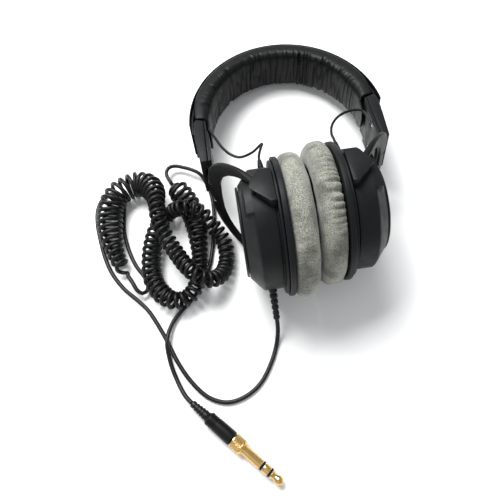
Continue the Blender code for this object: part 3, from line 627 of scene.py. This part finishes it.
def curled(route):
    """The curly stretch: a helix round a smooth line, opening and closing over its end turns."""
    spine = smooth_points(route, 0.5)
    spacing = (spine[1] - spine[0]).length
    total = spacing * (len(spine) - 1)
    points = []
    side = Vector((0, 0, 1))
    travelled = 0.0
    phase = math.radians(-90)
    done = 0
    while travelled < total:
        index = min(int(travelled / spacing), len(spine) - 2)
        for i in range(done, index + 1):
            along = (spine[min(i + 1, len(spine) - 1)] - spine[max(i - 1, 0)]).normalized()
            side = (side - along * side.dot(along)).normalized()
        done = index + 1
        centre = spine[index].lerp(spine[index + 1], travelled / spacing - index)
        share = travelled / total
        wider = sum(growth * smoothstep(share, rise, full) * (1 - smoothstep(share, fall, end))
                    for rise, full, fall, end, growth in FANS)
        size = HELIX_R * smoothstep(travelled, 0, RAMP) * smoothstep(total - travelled, 0, RAMP)
        size *= 1.0 + wider + 0.07 * ripple(travelled * 0.09, 0, 2)
        centre.z = max(centre.z, size + CORD_R + 0.1)
        spoke = math.cos(phase) * side + math.sin(phase) * along.cross(side)
        points.append(centre + size * spoke)
        for (share_a, pitch_a), (share_b, pitch_b) in zip(COIL_PITCH, COIL_PITCH[1:]):
            if share_a <= share <= share_b:
                pitch = pitch_a + (pitch_b - pitch_a) * (share - share_a) / (share_b - share_a)
        pitch = max(pitch, 2 * math.pi * math.sqrt(max((TIGHTEST - size) * size, 0.0)))
        travelled += pitch / TURN_POINTS
        phase += 2 * math.pi / TURN_POINTS
    return points


def build_cord():
    """One unbroken cord: the plain stretch, the curls and the tail that ends in the plug."""
    main = smooth_points([past_relief(0.35), past_relief(3.4)] + to_table(MAIN_ROUTE), 2.6)
    tail = smooth_points(to_table(TAIL_ROUTE), 2.6)
    line = main[:-1] + curled(to_table(COIL_ROUTE)) + tail[1:]
    cord = build("coiled_cord", tube(line, CORD_R, 10), TABLE, "cord_rubber", 80)
    length = sum((second - first).length for first, second in zip(line, line[1:])) * MM
    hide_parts("cord_main", "cord_coil", "cord_tail")
    return cord, [point * MM for point in line], length


# A rib of the strain relief: shares of its pitch, and how far each is below its crest.
RIB_SHAPE = ((0.0, 0.55), (0.12, 0.1), (0.2, 0.0), (0.62, 0.0), (0.72, 0.12), (0.8, 0.6))


def build_relief():
    """The ribbed sleeve at the left cup: a tapered core with rounded ribs and a collar."""
    start, end = RELIEF_R
    steps = [(35.0, 4.4), (36.2, 4.4), (36.2, 2.7), (start - 0.4, 2.7)]
    ribs = 5
    pitch = (end - start - 2.2) / ribs
    for k in range(ribs):
        size = 2.85 - 0.15 * k
        low = start + k * pitch
        steps += [(low + share * pitch, size - drop) for share, drop in RIB_SHAPE]
    steps += [(end - 2.2, 2.2), (end - 1.8, 2.35), (end - 0.5, 2.2), (end, 1.85), (end, 1.6)]
    reach = Vector((math.cos(RELIEF_ANGLE), -math.sin(RELIEF_ANGLE), 0))
    relief = build("ribbed_strain_relief", turned((0, 0, RELIEF_Z), reach, steps, 36), CUPS["left"],
                   "cord_rubber")
    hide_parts("cord_relief")
    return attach(relief, "left_cup")


def build_plug():
    """A moulded body with a screw-on adapter: knurled collar, contacts and two black rings."""
    def knurl(angle, distance, radius):
        depth = 0.22 if 36.6 < distance < 43.0 else 0.0
        return radius - depth * (0.5 + 0.5 * math.cos(36 * angle + distance * 2.2))

    def ring(low, high, edge):
        return [(low, edge), (low + 0.2, 3.15), (high - 0.2, 3.15), (high, edge)]

    collar = [(35.5, 4.2), (35.8, 4.7), (36.4, 4.9)]
    collar += [(36.7 + 0.42 * k, 4.95) for k in range(16)]
    collar += [(43.4, 4.9), (43.9, 4.5), (44.1, 4.0), (44.8, 3.9), (44.9, 3.3), (45.2, 3.15),
               (58.8, 3.15)]
    grooves = [(14.5, 3.4), (14.6, 4.0), (15.3, 4.6)]
    for k in range(3):
        at = 17.0 + 1.6 * k
        grooves += [(at, 4.65), (at + 0.2, 4.35), (at + 0.7, 4.35), (at + 0.9, 4.65)]
    grooves += [(26.0, 4.8), (33.6, 4.9), (34.7, 4.85), (35.1, 4.5), (35.2, 4.1)]
    boot = [(0.3, 2.0), (0.5, 2.3)]
    for k in range(5):
        at, size = 1.4 + 2.4 * k, 2.4 + 0.2 * k
        boot += [(at, size), (at + 1.3, size + 0.1), (at + 1.5, size - 0.35),
                 (at + 2.1, size - 0.3)]
    boot += [(13.6, 3.4), (14.2, 3.3)]
    tip = [(67.0, 2.9), (67.3, 3.05), (68.1, 2.6), (68.8, 2.15), (69.6, 2.05), (70.4, 2.3),
           (71.6, 2.9), (72.4, 3.08), (73.3, 2.95), (74.4, 2.2), (75.3, 1.4), (75.8, 0.8),
           (76.0, 0.3)]
    shapes = (
        ("plug_boot", "ribbed_plug_boot", boot, "cord_rubber", 32),
        ("plug_body", "plug_handle", grooves, "black_plastic", 48),
        ("plug_adapter", "knurled_adapter", collar, "plug_gold", 144, knurl),
        ("plug_ring_sleeve", "insulator_sleeve_side", ring(59.1, 60.5, 3.0), "black_plastic", 48),
        ("plug_ring_contact", "ring_contact", ring(60.8, 65.0, 3.05), "plug_gold", 48),
        ("plug_ring_tip", "insulator_tip_side", ring(65.3, 66.7, 3.0), "black_plastic", 48),
        ("plug_tip", "jack_tip", tip, "plug_gold", 48))
    pieces = []
    for node, name, profile, slot, *options in shapes:
        piece = build(name, turned(PLUG_START, PLUG_AXIS, profile, *options), TABLE, slot)
        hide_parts(node)
        pieces.append(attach(piece, "left_fork_body"))
    return pieces


def build_leads():
    """Each lead is two tubes that meet at its apex, both baked in place."""
    for side, _ in SIDES:
        route = LEADS[side]
        fine = smooth_points(route, 0.8)
        peak = min(range(len(fine)), key=lambda i: (fine[i] - Vector(route[LEAD_APEX])).length)
        halves = (("lead_at_cup", fine[:peak + 1], side + "_cup", fine[0]),
                  ("lead_at_housing", fine[peak:], "headband", fine[-1]))
        for name, points, body, end in halves:
            piece = build(side + "_" + name, tube(points, LEAD_R, 12), REST, "cord_rubber", 80)
            if name == "lead_at_cup":
                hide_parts(side + "_cross_lead")
            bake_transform(piece)


# ---- cups

def cone_radius(z):
    for (z_a, r_a), (z_b, r_b) in zip(CONE, CONE[1:]):
        if z_a <= z <= z_b:
            return r_a + (r_b - r_a) * (z - z_a) / (z_b - z_a)
    return CONE[-1][1]


def build_shell(side):
    """The back housing: flange, groove, cylinder and cone, with a land behind each pivot cover."""
    def reach(angle, radius, z):
        if z <= CONE[0][0] or radius < cone_radius(z) - 0.6 or z > LAND_Z[1] + 0.5:
            return radius
        x = SHELL_R * math.cos(angle)
        inside = smoothstep(x, LAND_X[0] - 1.2, LAND_X[0])
        inside *= smoothstep(-x, -LAND_X[1] - 1.2, -LAND_X[1])
        level = SHELL_R - 0.12 * (z - CONE[0][0])
        level -= (level - radius) * smoothstep(z, *LAND_Z)
        return radius + (level - radius) * inside

    outer = rounded([(37.2, 20.9), (RIM_R, 20.9), (RIM_R, 22.4), (38.6, 22.4), (38.6, 24.0),
                     (SHELL_R, 24.0), (SHELL_R, 36.0)], 0.35)[4:]
    levels = (36.4, 36.8, 37.2, 38, 39, 40, 41, 41.4, 41.8, 42.2, 42.8, 43.4, 43.8)
    cone = [(cone_radius(z), z) for z in levels]
    inner = [(30.4, 44.0), (28.2, 44.0), (36.0, 37.6), (37.2, 36.4), (37.2, 20.9)]
    shell = build(side + "_back_housing", lathe(outer + cone + inner, 192, reach), CUPS[side],
                  "charcoal_plastic", 28)
    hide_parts(side + "_cup_shell")
    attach(shell, side + "_cup")


# The back plate with its rim and dished face, and the front plate that holds the pad's skirt.
BACK_PLATE = ((0, 42.6), (27.4, 42.6), (27.4, 44.3), (29.9, 44.3), (29.9, 45.1), (29.2, 45.9),
              (27.0, 45.9), (26.2, 45.5), (23.4, 45.5), (22.9, 45.2), (22.4, 45.5), (0, 45.5))
FRONT_PLATE = ((21.0, 16.7), (45.2, 16.7), (46.0, 17.5), (46.0, 20.1), (45.6, 20.5), (40.0, 20.5),
               (40.0, 19.0), (21.0, 19.0))


def build_plates(side):
    for name, node, outline, edge, segments in (
            ("_back_plate", "_back_cap", BACK_PLATE, 0.25, 128),
            ("_front_plate", "_baffle", FRONT_PLATE, 0.2, 144)):
        plate = build(side + name, lathe(rounded(outline, edge), segments), CUPS[side],
                      "charcoal_plastic")
        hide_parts(side + node)
        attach(plate, side + "_cup")


def build_foam(side):
    """The foam disc over the loudspeaker, sagging between its edge and middle."""
    rings = 14
    top = [(27.0 * (1 - k / rings), 14.9 - 0.25 * math.sin(math.pi * k / rings))
           for k in range(1, rings)]
    profile = [(0, 16.3), (26.6, 16.3), (27.0, 15.9), (27.0, 15.2)] + top + [(0, 14.9)]
    bm = lathe(profile, 72)
    for vertex in bm.verts:
        vertex.co.z += 0.12 * ripple(*vertex.co * 0.35) * (vertex.co.z < 15.6)
    disc = build(side + "_foam_screen", bm, CUPS[side], "foam", 60)
    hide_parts(side + "_foam_disc")
    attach(disc, side + "_cup")


def build_cover(side, place, end):
    """The plate over a pivot, with a raised middle, open towards the fork."""
    roof = [(-13.0, 22.8), (-13.2, 26.2), (-1.5, 37.6), (2.5, 36.8), (11.5, 31.0), (12.0, 23.0)]
    pocket = [(-11.4, 24.4), (-11.4, 25.8), (-5.6, 32.2), (-4.0, 42.0), (16.0, 42.0),
              (16.0, 30.0), (10.4, 30.0), (10.4, 24.4)]
    matrix = CUPS[side]
    cover = build(side + "_pivot_plate_" + place, prism(roof, 1, *sorted((end * 36.0, end * 44.8))),
                  matrix, "charcoal_plastic")
    hollow = prism(pocket, 1, *sorted((end * 30.0, end * 43.9)))
    seat = lathe([(0, 10.0), (SHELL_R + 0.12, 10.0), (SHELL_R + 0.12, 60.0), (0, 60.0)], 120)
    carve(cover, (hollow, seat), matrix)
    soften(cover, 0.3, 2, 42)
    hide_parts(side + "_pivot_cover_" + place)
    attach(cover, side + "_cup")


def build_pin(side, place, end):
    """A shouldered pin with a slotted end."""
    steps = [(0, 2.9), (0.3, 3.2), (1.0, 3.2), (1.2, 3.0), (1.2, 1.7), (8.2, 1.7), (8.6, 1.3)]
    shank = turned((0, end * 35.0, PIVOT_Z), (0, end, 0), steps, 32)
    pin = build(side + "_hinge_pin_" + place, shank, CUPS[side], "screw_steel")
    slit = prism(rectangle(0, PIVOT_Z, 0.3, 3), 1, *sorted((end * 43.0, end * 45.0)))
    carve(pin, (slit,), CUPS[side])
    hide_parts(side + "_pivot_pin_" + place)
    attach(pin, side + "_cup")


def build_lead_relief(side, sign):
    x, y, z = LEAD_RELIEF
    steps = [(-4.0, 1.8), (0.6, 1.8), (0.9, 2.05), (2.6, 2.05), (3.0, 1.75), (3.4, 1.7),
             (3.6, 1.85), (5.0, 1.8), (5.2, 1.6), (7.4, 1.5), (7.9, 1.3), (8.0, 1.1)]
    body = turned((x, y * sign, z), (1, 0, 0), steps, 28)
    sleeve = build(side + "_lead_sleeve", body, CUPS[side], "cord_rubber")
    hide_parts(side + "_lead_relief")
    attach(sleeve, side + "_cup")


# A pad's outline as (radius, z).
PAD_SECTION = ((30.2, 15.9), (36.0, 16.2), (41.0, 16.2), (44.4, 15.7), (46.6, 13.6), (47.6, 10.4),
               (47.4, 7.2), (45.8, 3.9), (42.6, 1.6), (38.4, 0.9), (34.0, 1.2), (30.6, 3.0),
               (28.9, 6.4), (28.6, 10.2), (29.0, 13.8))
# Where each pad's cloth is gathered: the middle and spread in degrees from v towards w, the depth.
GATHERS = {"left": (200.0, 70.0, 0.3), "right": (78.0, 70.0, 3.2)}
GATHER_START_Z = {"left": 5.5, "right": 3.0}
FOLDS = 64
SCALLOPS = 112


def build_pad(side, sign):
    """A velour ring, swelled as cloth and then gathered at its skirt."""
    outline = closed_curve(PAD_SECTION)[::2]
    pad = build(side + "_velour_pad", lathe(outline, 150), CUPS[side], "velour", 80)
    inflate(pad, 4.0, 1.6)
    subdivide(pad)
    back = CUPS[side].inverted()
    centre, spread, depth = GATHERS[side]
    begin = GATHER_START_Z[side]
    seed = Vector((7.3, 1.9, 4.0 if sign < 0 else 11.0))
    for vertex in pad.data.vertices:
        x, y, z = back @ vertex.co
        radius, angle = math.hypot(x, y), math.atan2(y, x)
        radius = min(max(radius, PAD_LIMIT_R[0]), PAD_LIMIT_R[1])
        away = abs((math.degrees(angle) - centre + 180) % 360 - 180)
        near = 1 - smoothstep(away, 0.35 * spread, spread)
        skirt = smoothstep(z, begin, 12.5) * smoothstep(radius, 34.0, 42.0)
        wander = 1.6 * ripple(math.cos(angle) * 3, math.sin(angle) * 3, 0, seed)
        fold = 0.5 + 0.5 * math.sin(FOLDS * angle + 6 * wander + 0.06 * z)
        radius += 0.5 * smoothstep(depth, 1.0, 2.0) * skirt * near
        scallop = 0.5 + 0.5 * math.sin(SCALLOPS * angle + 3 * wander)
        radius -= skirt * (0.22 + depth * near) * (0.95 * fold ** 2.6 + 0.1)
        radius -= 0.35 * smoothstep(z, 13.0, 15.5) * smoothstep(radius, 38.0, 43.0) * scallop
        lump = ripple(x * 0.11, y * 0.11, z * 0.11, seed)
        radius += 0.45 * (lump + 0.5 * ripple(x * 0.3, y * 0.3, z * 0.3, seed))
        z += 0.3 * ripple(y * 0.12, z * 0.12, x * 0.12, seed)
        z = min(max(z, PAD_LIMIT_Z[0]), PAD_LIMIT_Z[1])
        vertex.co = CUPS[side] @ Vector((radius * math.cos(angle), radius * math.sin(angle), z))
    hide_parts(side + "_ear_pad")
    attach(pad, side + "_cup")


def build_cups():
    for side, sign in SIDES:
        build_shell(side)
        build_plates(side)
        build_foam(side)
        for end, place in ((sign, "upper"), (-sign, "lower")):
            build_cover(side, place, end)
            build_pin(side, place, end)
        build_lead_relief(side, sign)
        build_pad(side, sign)


# ---- forks

# (v, w, width, thickness) from the middle of the crown to the eye.
ARM = ((36.3, 0.0, 8.4, 2.4), (36.1, 7.0, 8.6, 2.4), (36.5, 14.0, 10.8, 2.4),
       (35.2, 20.5, 11.4, 2.5), (31.4, 28.0, 10.4, 2.6), (25.6, 34.3, 8.8, 2.8),
       (19.4, 38.3, 7.2, 3.1), (13.6, 40.6, 5.8, 3.6), (8.0, 41.5, 3.9, 4.4), (2.5, 42.0, 2.8, 5.0))
# (u, v) from the top of the stem to the crown.
STEM_PATH = ((62.3, 84.0), (62.3, 45.0), (62.0, 42.8), (61.2, 40.6), (59.9, 38.6), (58.2, 36.6),
             (57.6, 35.8))
# The notch between stem and crown, as (v, w).
NOTCH = ((48.0, 7.2), (36.4, 7.8), (44.0, 15.5))


def mirrored(sign):
    return REST @ Matrix.Diagonal((sign, 1, 1, 1))


def rounded_bar(bm, centre, across, through, width, thick):
    """One ring of a bar with rounded edges."""
    edge = min(width, thick) * 0.3
    ring = []
    for a, b in ((1, 1), (-1, 1), (-1, -1), (1, -1)):
        corner = Vector((a * (width / 2 - edge), b * (thick / 2 - edge)))
        start = math.atan2(b, a) - math.pi / 4
        for k in range(4):
            turn = start + math.pi / 2 * k / 3
            spot = corner + edge * Vector((math.cos(turn), math.sin(turn)))
            ring.append(bm.verts.new(centre + across * spot.x + through * spot.y))
    return ring


def build_fork(side, sign):
    """The flat yoke and its stem, with an eye on each arm."""
    matrix = mirrored(sign)
    place = LEFT_SHIFT if sign < 0 else Vector((0, 0, 0))
    whole = [(v, -w, width, thick) for v, w, width, thick in reversed(ARM[1:])] + list(ARM)
    fine = interpolated(whole, 5)
    normal = Vector((1.0, -LEAN, 0.0)).normalized()
    centres = [place + Vector((STEM_U - LEAN * (42.0 - v), v, w)) for v, w, _, _ in fine]
    arms = bmesh.new()
    rings = []
    for i, (_, _, width, thick) in enumerate(fine):
        along = (centres[min(i + 1, len(fine) - 1)] - centres[max(i - 1, 0)]).normalized()
        across = normal.cross(along).normalized()
        rings.append(rounded_bar(arms, centres[i], across, normal, width, thick))
    bridge(arms, rings)
    fork = build(side + "_yoke", arms, matrix, "fork_metal")

    path = interpolated(STEM_PATH, 4)
    stem = bmesh.new()
    rings = []
    for i, (u, v) in enumerate(path):
        u2, v2 = path[min(i + 1, len(path) - 1)]
        u1, v1 = path[max(i - 1, 0)]
        out = Vector((v1 - v2, u2 - u1, 0)).normalized()
        flare = 1.0 + 0.35 * smoothstep(-v, -44.5, -39.0)
        spot = place + Vector((u, v, 0))
        rings.append(rounded_bar(stem, spot, Vector((0, 0, 1)), out, 10.0 * flare, 1.8))
    bridge(stem, rings)
    eyes = [turned(place + Vector((PIVOT_Z, 0, end * 40.8)), (0, 0, end),
                   [(0, 3.7), (0.3, 4.0), (2.5, 4.0), (2.8, 3.7)], 40) for end in (-1, 1)]
    carve(fork, [stem] + eyes, matrix, "UNION")
    notches = [prism([(v + place.y, end * w + place.z) for v, w in NOTCH], 0, 50, 66)
               for end in (-1, 1)]
    bores = [turned(place + Vector((PIVOT_Z, 0, end * 38.0)), (0, 0, end), [(0, 1.9), (8, 1.9)], 32)
             for end in (-1, 1)]
    carve(fork, notches + bores, matrix)
    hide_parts(side + "_fork")
    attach(fork, side + "_fork_body")


# ---- headband

def band_point(angle, depth, w):
    v = BAND_CENTRE_V + (BAND_B - depth) * math.sin(angle)
    return Vector(((BAND_A - depth) * math.cos(angle), v, w))


def band_angle(v):
    return math.asin((v - BAND_CENTRE_V) / BAND_B)


def band_depth(u, v):
    """How far a point lies inside the band's outer curve."""
    return BAND_A - math.hypot(u, (v - BAND_CENTRE_V) * BAND_A / BAND_B)


def sweep(stations):
    """Stations are (angle, outline), each outline a closed list of (depth, w)."""
    bm = bmesh.new()
    return bridge(bm, [[bm.verts.new(band_point(angle, depth, w)) for depth, w in outline]
                       for angle, outline in stations])


def cushion_outline(outer, inner, half, groove):
    """Half-round sides, a flat bed for the spring band outside, and a crowned face inside."""
    edge = min(12.4, half - 3.6)
    soft = min(5.2, (inner - outer) * 0.44, half * 0.45)
    upper = [(outer + groove, edge * share) for share in (0.0, 0.5, 1.0)] + [(outer, edge + 0.2)]
    for turn in (1.4, 1.05, 0.52, 0.0):
        upper.append((outer + 2.2 * (1 - math.sin(turn)), half - 2.2 * (1 - math.cos(turn))))
    for k in range(5):
        turn = math.pi / 2 * k / 4
        upper.append((inner - soft * (1 - math.sin(turn)), half - soft * (1 - math.cos(turn))))
    upper += [(inner, (half - soft) * 0.5)]
    lower = [(depth, -w) for depth, w in reversed(upper) if abs(w) > TINY]
    return upper + [(inner, 0.0)] + lower


# Each end of the cushion narrows to a tongue: shares of its length and half widths.
TONGUE = ((0.0, 4.4), (0.06, 6.2), (0.15, 7.8), (0.3, 9.3), (0.45, 10.2), (0.7, 10.8),
          (0.985, 11.2))


def build_cushion():
    """The padded band, swelled as cloth and then puckered across its inner face."""
    stations = []
    turn, tongue_end = band_angle(CUSHION_END_V), band_angle(80.0)
    for share, half in TONGUE:
        outline = cushion_outline(12.9, 15.0, half, 0.15)
        stations.append((tongue_end + share * (turn - tongue_end), outline))
    count = 112
    for k in range(count):
        angle = turn + (math.pi / 2 - turn) * k / (count - 1)
        v = BAND_CENTRE_V + BAND_B * math.sin(angle)
        near_end = min(max((126.0 - v) / (126.0 - CUSHION_END_V), 0.0), 1.0)
        outer = 1.3 + 2.6 * near_end ** 2
        half = 16.1 - 1.8 * near_end ** 2
        stations.append((angle, cushion_outline(outer, 14.4, half, max(3.0 - outer, 0.15))))
    whole = stations + [(math.pi - angle, outline) for angle, outline in reversed(stations[:-1])]
    cushion = build("padded_band", sweep(whole), REST, "leatherette", 80)
    before = [vertex.co.copy() for vertex in cushion.data.vertices]
    inflate(cushion, 3.0, 0.9)
    back = REST.inverted()
    for vertex, start in zip(cushion.data.vertices, before):
        u, v, _ = back @ start
        free = smoothstep(band_depth(u, v), 3.5, 7.0) * smoothstep(v, 96.0, 104.0)
        vertex.co = start.lerp(vertex.co, free)
    subdivide(cushion)
    for vertex in cushion.data.vertices:
        u, v, w = back @ vertex.co
        angle = math.atan2((v - BAND_CENTRE_V) / BAND_B, u / BAND_A)
        depth = band_depth(u, v)
        along = angle * 78.0 + 0.06 * w
        loose = smoothstep(v, 97.0, 112.0)
        inner = smoothstep(depth, 8.5, 12.5)
        hard = 0.6 + 0.5 * ripple(along * 0.05, 3, 0)
        fine = math.sin(along * 1.5 + 3.5 * ripple(along * 0.1, w * 0.03, 1))
        fold = 1 - smoothstep(abs(ripple(along * 0.17, w * 0.02, 5)), 0.0, 0.17)
        reach = smoothstep(depth, 8.0 - 3.0 * hard, 12.0)
        sink = loose * (0.5 * inner * hard * (0.5 + 0.5 * fine) ** 2 + 1.9 * reach * fold * hard)
        crease = ripple(along * 0.16, w * 0.05, 9)
        sink += 0.5 * loose * smoothstep(crease, 0.42, 0.6) * smoothstep(depth, 2.0, 5.0)
        outward = Vector((math.cos(angle) * BAND_B, math.sin(angle) * BAND_A, 0)).normalized()
        side_pull = -math.copysign(0.35 * sink, w) if abs(w) > 12 else 0.0
        vertex.co = REST @ Vector((u + outward.x * sink, v + outward.y * sink, w + side_pull))
    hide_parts("headband_cushion")
    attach(cushion, "headband")


def build_band_cover():
    """The leatherette strip over the spring band, with a stitched edge on each side."""
    edge = [(1.0, 15.2), (0.35, 15.2), (0.0, 14.6), (0.0, 13.7), (0.12, 13.4), (0.0, 13.1)]
    skin = rounded([(depth, -w) for depth, w in edge[1:]] + edge[::-1] + [(1.0, -15.2)], 0.2, 2)
    start = band_angle(87.5)
    steps = 160
    strip = sweep([(start + (math.pi - 2 * start) * k / steps, skin) for k in range(steps + 1)])
    cover = build("band_cover_strip", strip, REST, "leatherette", 60)
    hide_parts("headband_cover")
    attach(cover, "headband")


def build_housing(side, sign):
    """The slider housing and its lid, with a parting step and a slot for the stem."""
    matrix = mirrored(sign)
    outline = [(61.2, 47.6), (66.6, 47.6), (68.6, 72.0), (68.8, 88.0), (66.8, 91.5), (61.2, 89.4)]
    block = build(side + "_slider_housing", prism(outline, 2, -16.0, 16.0), matrix,
                  "charcoal_plastic")
    channel = prism([(60.5, 45.6), (63.6, 45.6), (63.6, 86.5), (60.5, 86.5)], 2, -7.6, 7.6)
    hole = turned((65.6, 84.0, 0), (1, 0, 0), [(0, 2.3), (8.4, 2.3)], 32)
    carve(block, (channel, hole), matrix)
    soften(block, 0.9, 4, 30)
    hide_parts(side + "_housing_outer")
    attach(block, "headband")

    outline = [(58.5, 48.0), (60.9, 47.6), (60.9, 89.2), (59.7, 88.8), (59.7, 79.0), (58.5, 76.4)]
    lid = build(side + "_slider_lid", prism(outline, 2, -16.0, 16.0), matrix, "charcoal_plastic")
    seats = [turned((57.5, 64.0, w), (1, 0, 0), [(0, 2.4), (2.3, 2.4), (2.3, 1.3), (7.4, 1.3)], 28)
             for w in (-11.5, 11.5)]
    carve(lid, seats, matrix)
    soften(lid, 0.4, 3, 40)
    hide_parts(side + "_housing_lid")
    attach(lid, "headband")

    for place, w in (("upper", 11.5), ("lower", -11.5)):
        head = [(0, 1.6), (0.25, 2.0), (0.8, 2.0), (0.8, 1.0), (5.5, 1.0), (5.8, 0.7)]
        screw = build(side + "_cross_screw_" + place, turned((58.7, 64.0, w), (1, 0, 0), head, 32),
                      matrix, "screw_steel")
        bars = (rectangle(64.0, w, 1.25, 0.25), rectangle(64.0, w, 0.25, 1.25))
        carve(screw, [prism(bar, 0, 58.0, 59.2) for bar in bars], matrix)
        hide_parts(side + "_lid_screw_" + place)
        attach(screw, "headband")
    dome = [(0, 1.7), (0.3, 2.0), (4.2, 2.0), (4.45, 1.6), (4.6, 0.9)]
    rivet = build(side + "_domed_rivet", turned((65.9, 84.0, 0), (1, 0, 0), dome, 32), matrix,
                  "screw_steel")
    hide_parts(side + "_band_rivet")
    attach(rivet, "headband")


# ---- stage

def dress_hidden_nodes():
    """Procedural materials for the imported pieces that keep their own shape."""
    slots = {"driver_grille": "grille_steel", "driver_diaphragm": "film",
             "driver_frame": "black_plastic", "driver_magnet": "magnet_iron",
             "damping_felt": "felt", "detent_spring": "spring_steel", "spring_band": "spring_steel"}
    for name, item in frame["nodes"].items():
        for ending, slot in slots.items():
            if name.endswith(ending):
                item.data.materials.clear()
                item.data.materials.append(MATERIALS[slot])


def add_light(name, place, size, power):
    """A softbox that faces the object."""
    light = bpy.data.lights.new(name, "AREA")
    light.shape = "RECTANGLE"
    light.size, light.size_y = size
    light.energy = power
    item = add_object(name, light)
    item.location = place
    item.rotation_mode = "QUATERNION"
    item.rotation_quaternion = (LIGHT_TARGET - Vector(place)).to_track_quat("-Z", "Y")


def build_stage():
    mesh = bpy.data.meshes.new("pale_floor")
    corners = [(*corner, 0) for corner in rectangle(0, 0, FLOOR_HALF, FLOOR_HALF)]
    mesh.from_pydata(corners, [], [(0, 1, 2, 3)])
    mesh.materials.append(start_material("pale_paper", (0.97, 0.97, 0.965), 0.9, specular=0.1))
    floor = add_object("pale_floor", mesh)
    world = bpy.data.worlds.new("soft_room")
    bpy.context.scene.world = world
    world.use_nodes = True
    background = world.node_tree.nodes["Background"]
    background.inputs["Color"].default_value = (0.95, 0.97, 1.0, 1.0)
    background.inputs["Strength"].default_value = 0.5
    add_light("overhead_softbox", (-0.3, 0.5, 1.0), (0.7, 0.55), 21.0)
    add_light("front_fill", (-0.5, -0.9, 0.9), (1.2, 1.2), 1.6)


def build_camera():
    camera = bpy.data.cameras.new("photo_view")
    camera.lens = 35.0
    camera.clip_start = 0.01
    item = add_object("photo_view", camera)
    item.matrix_world = Matrix.Translation(CAMERA_PLACE) @ Matrix(CAMERA_AXES).transposed().to_4x4()
    bpy.context.scene.camera = item
    bpy.context.scene.view_settings.view_transform = "Standard"


build_camera()
build_stage()
cord, cord_line, cord_length = build_cord()
cord_pieces = [build_relief()] + build_plug()
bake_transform(cord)
build_leads()
build_cups()
for side_name, side_sign in SIDES:
    build_fork(side_name, side_sign)
    build_housing(side_name, side_sign)
build_band_cover()
build_cushion()
dress_hidden_nodes()
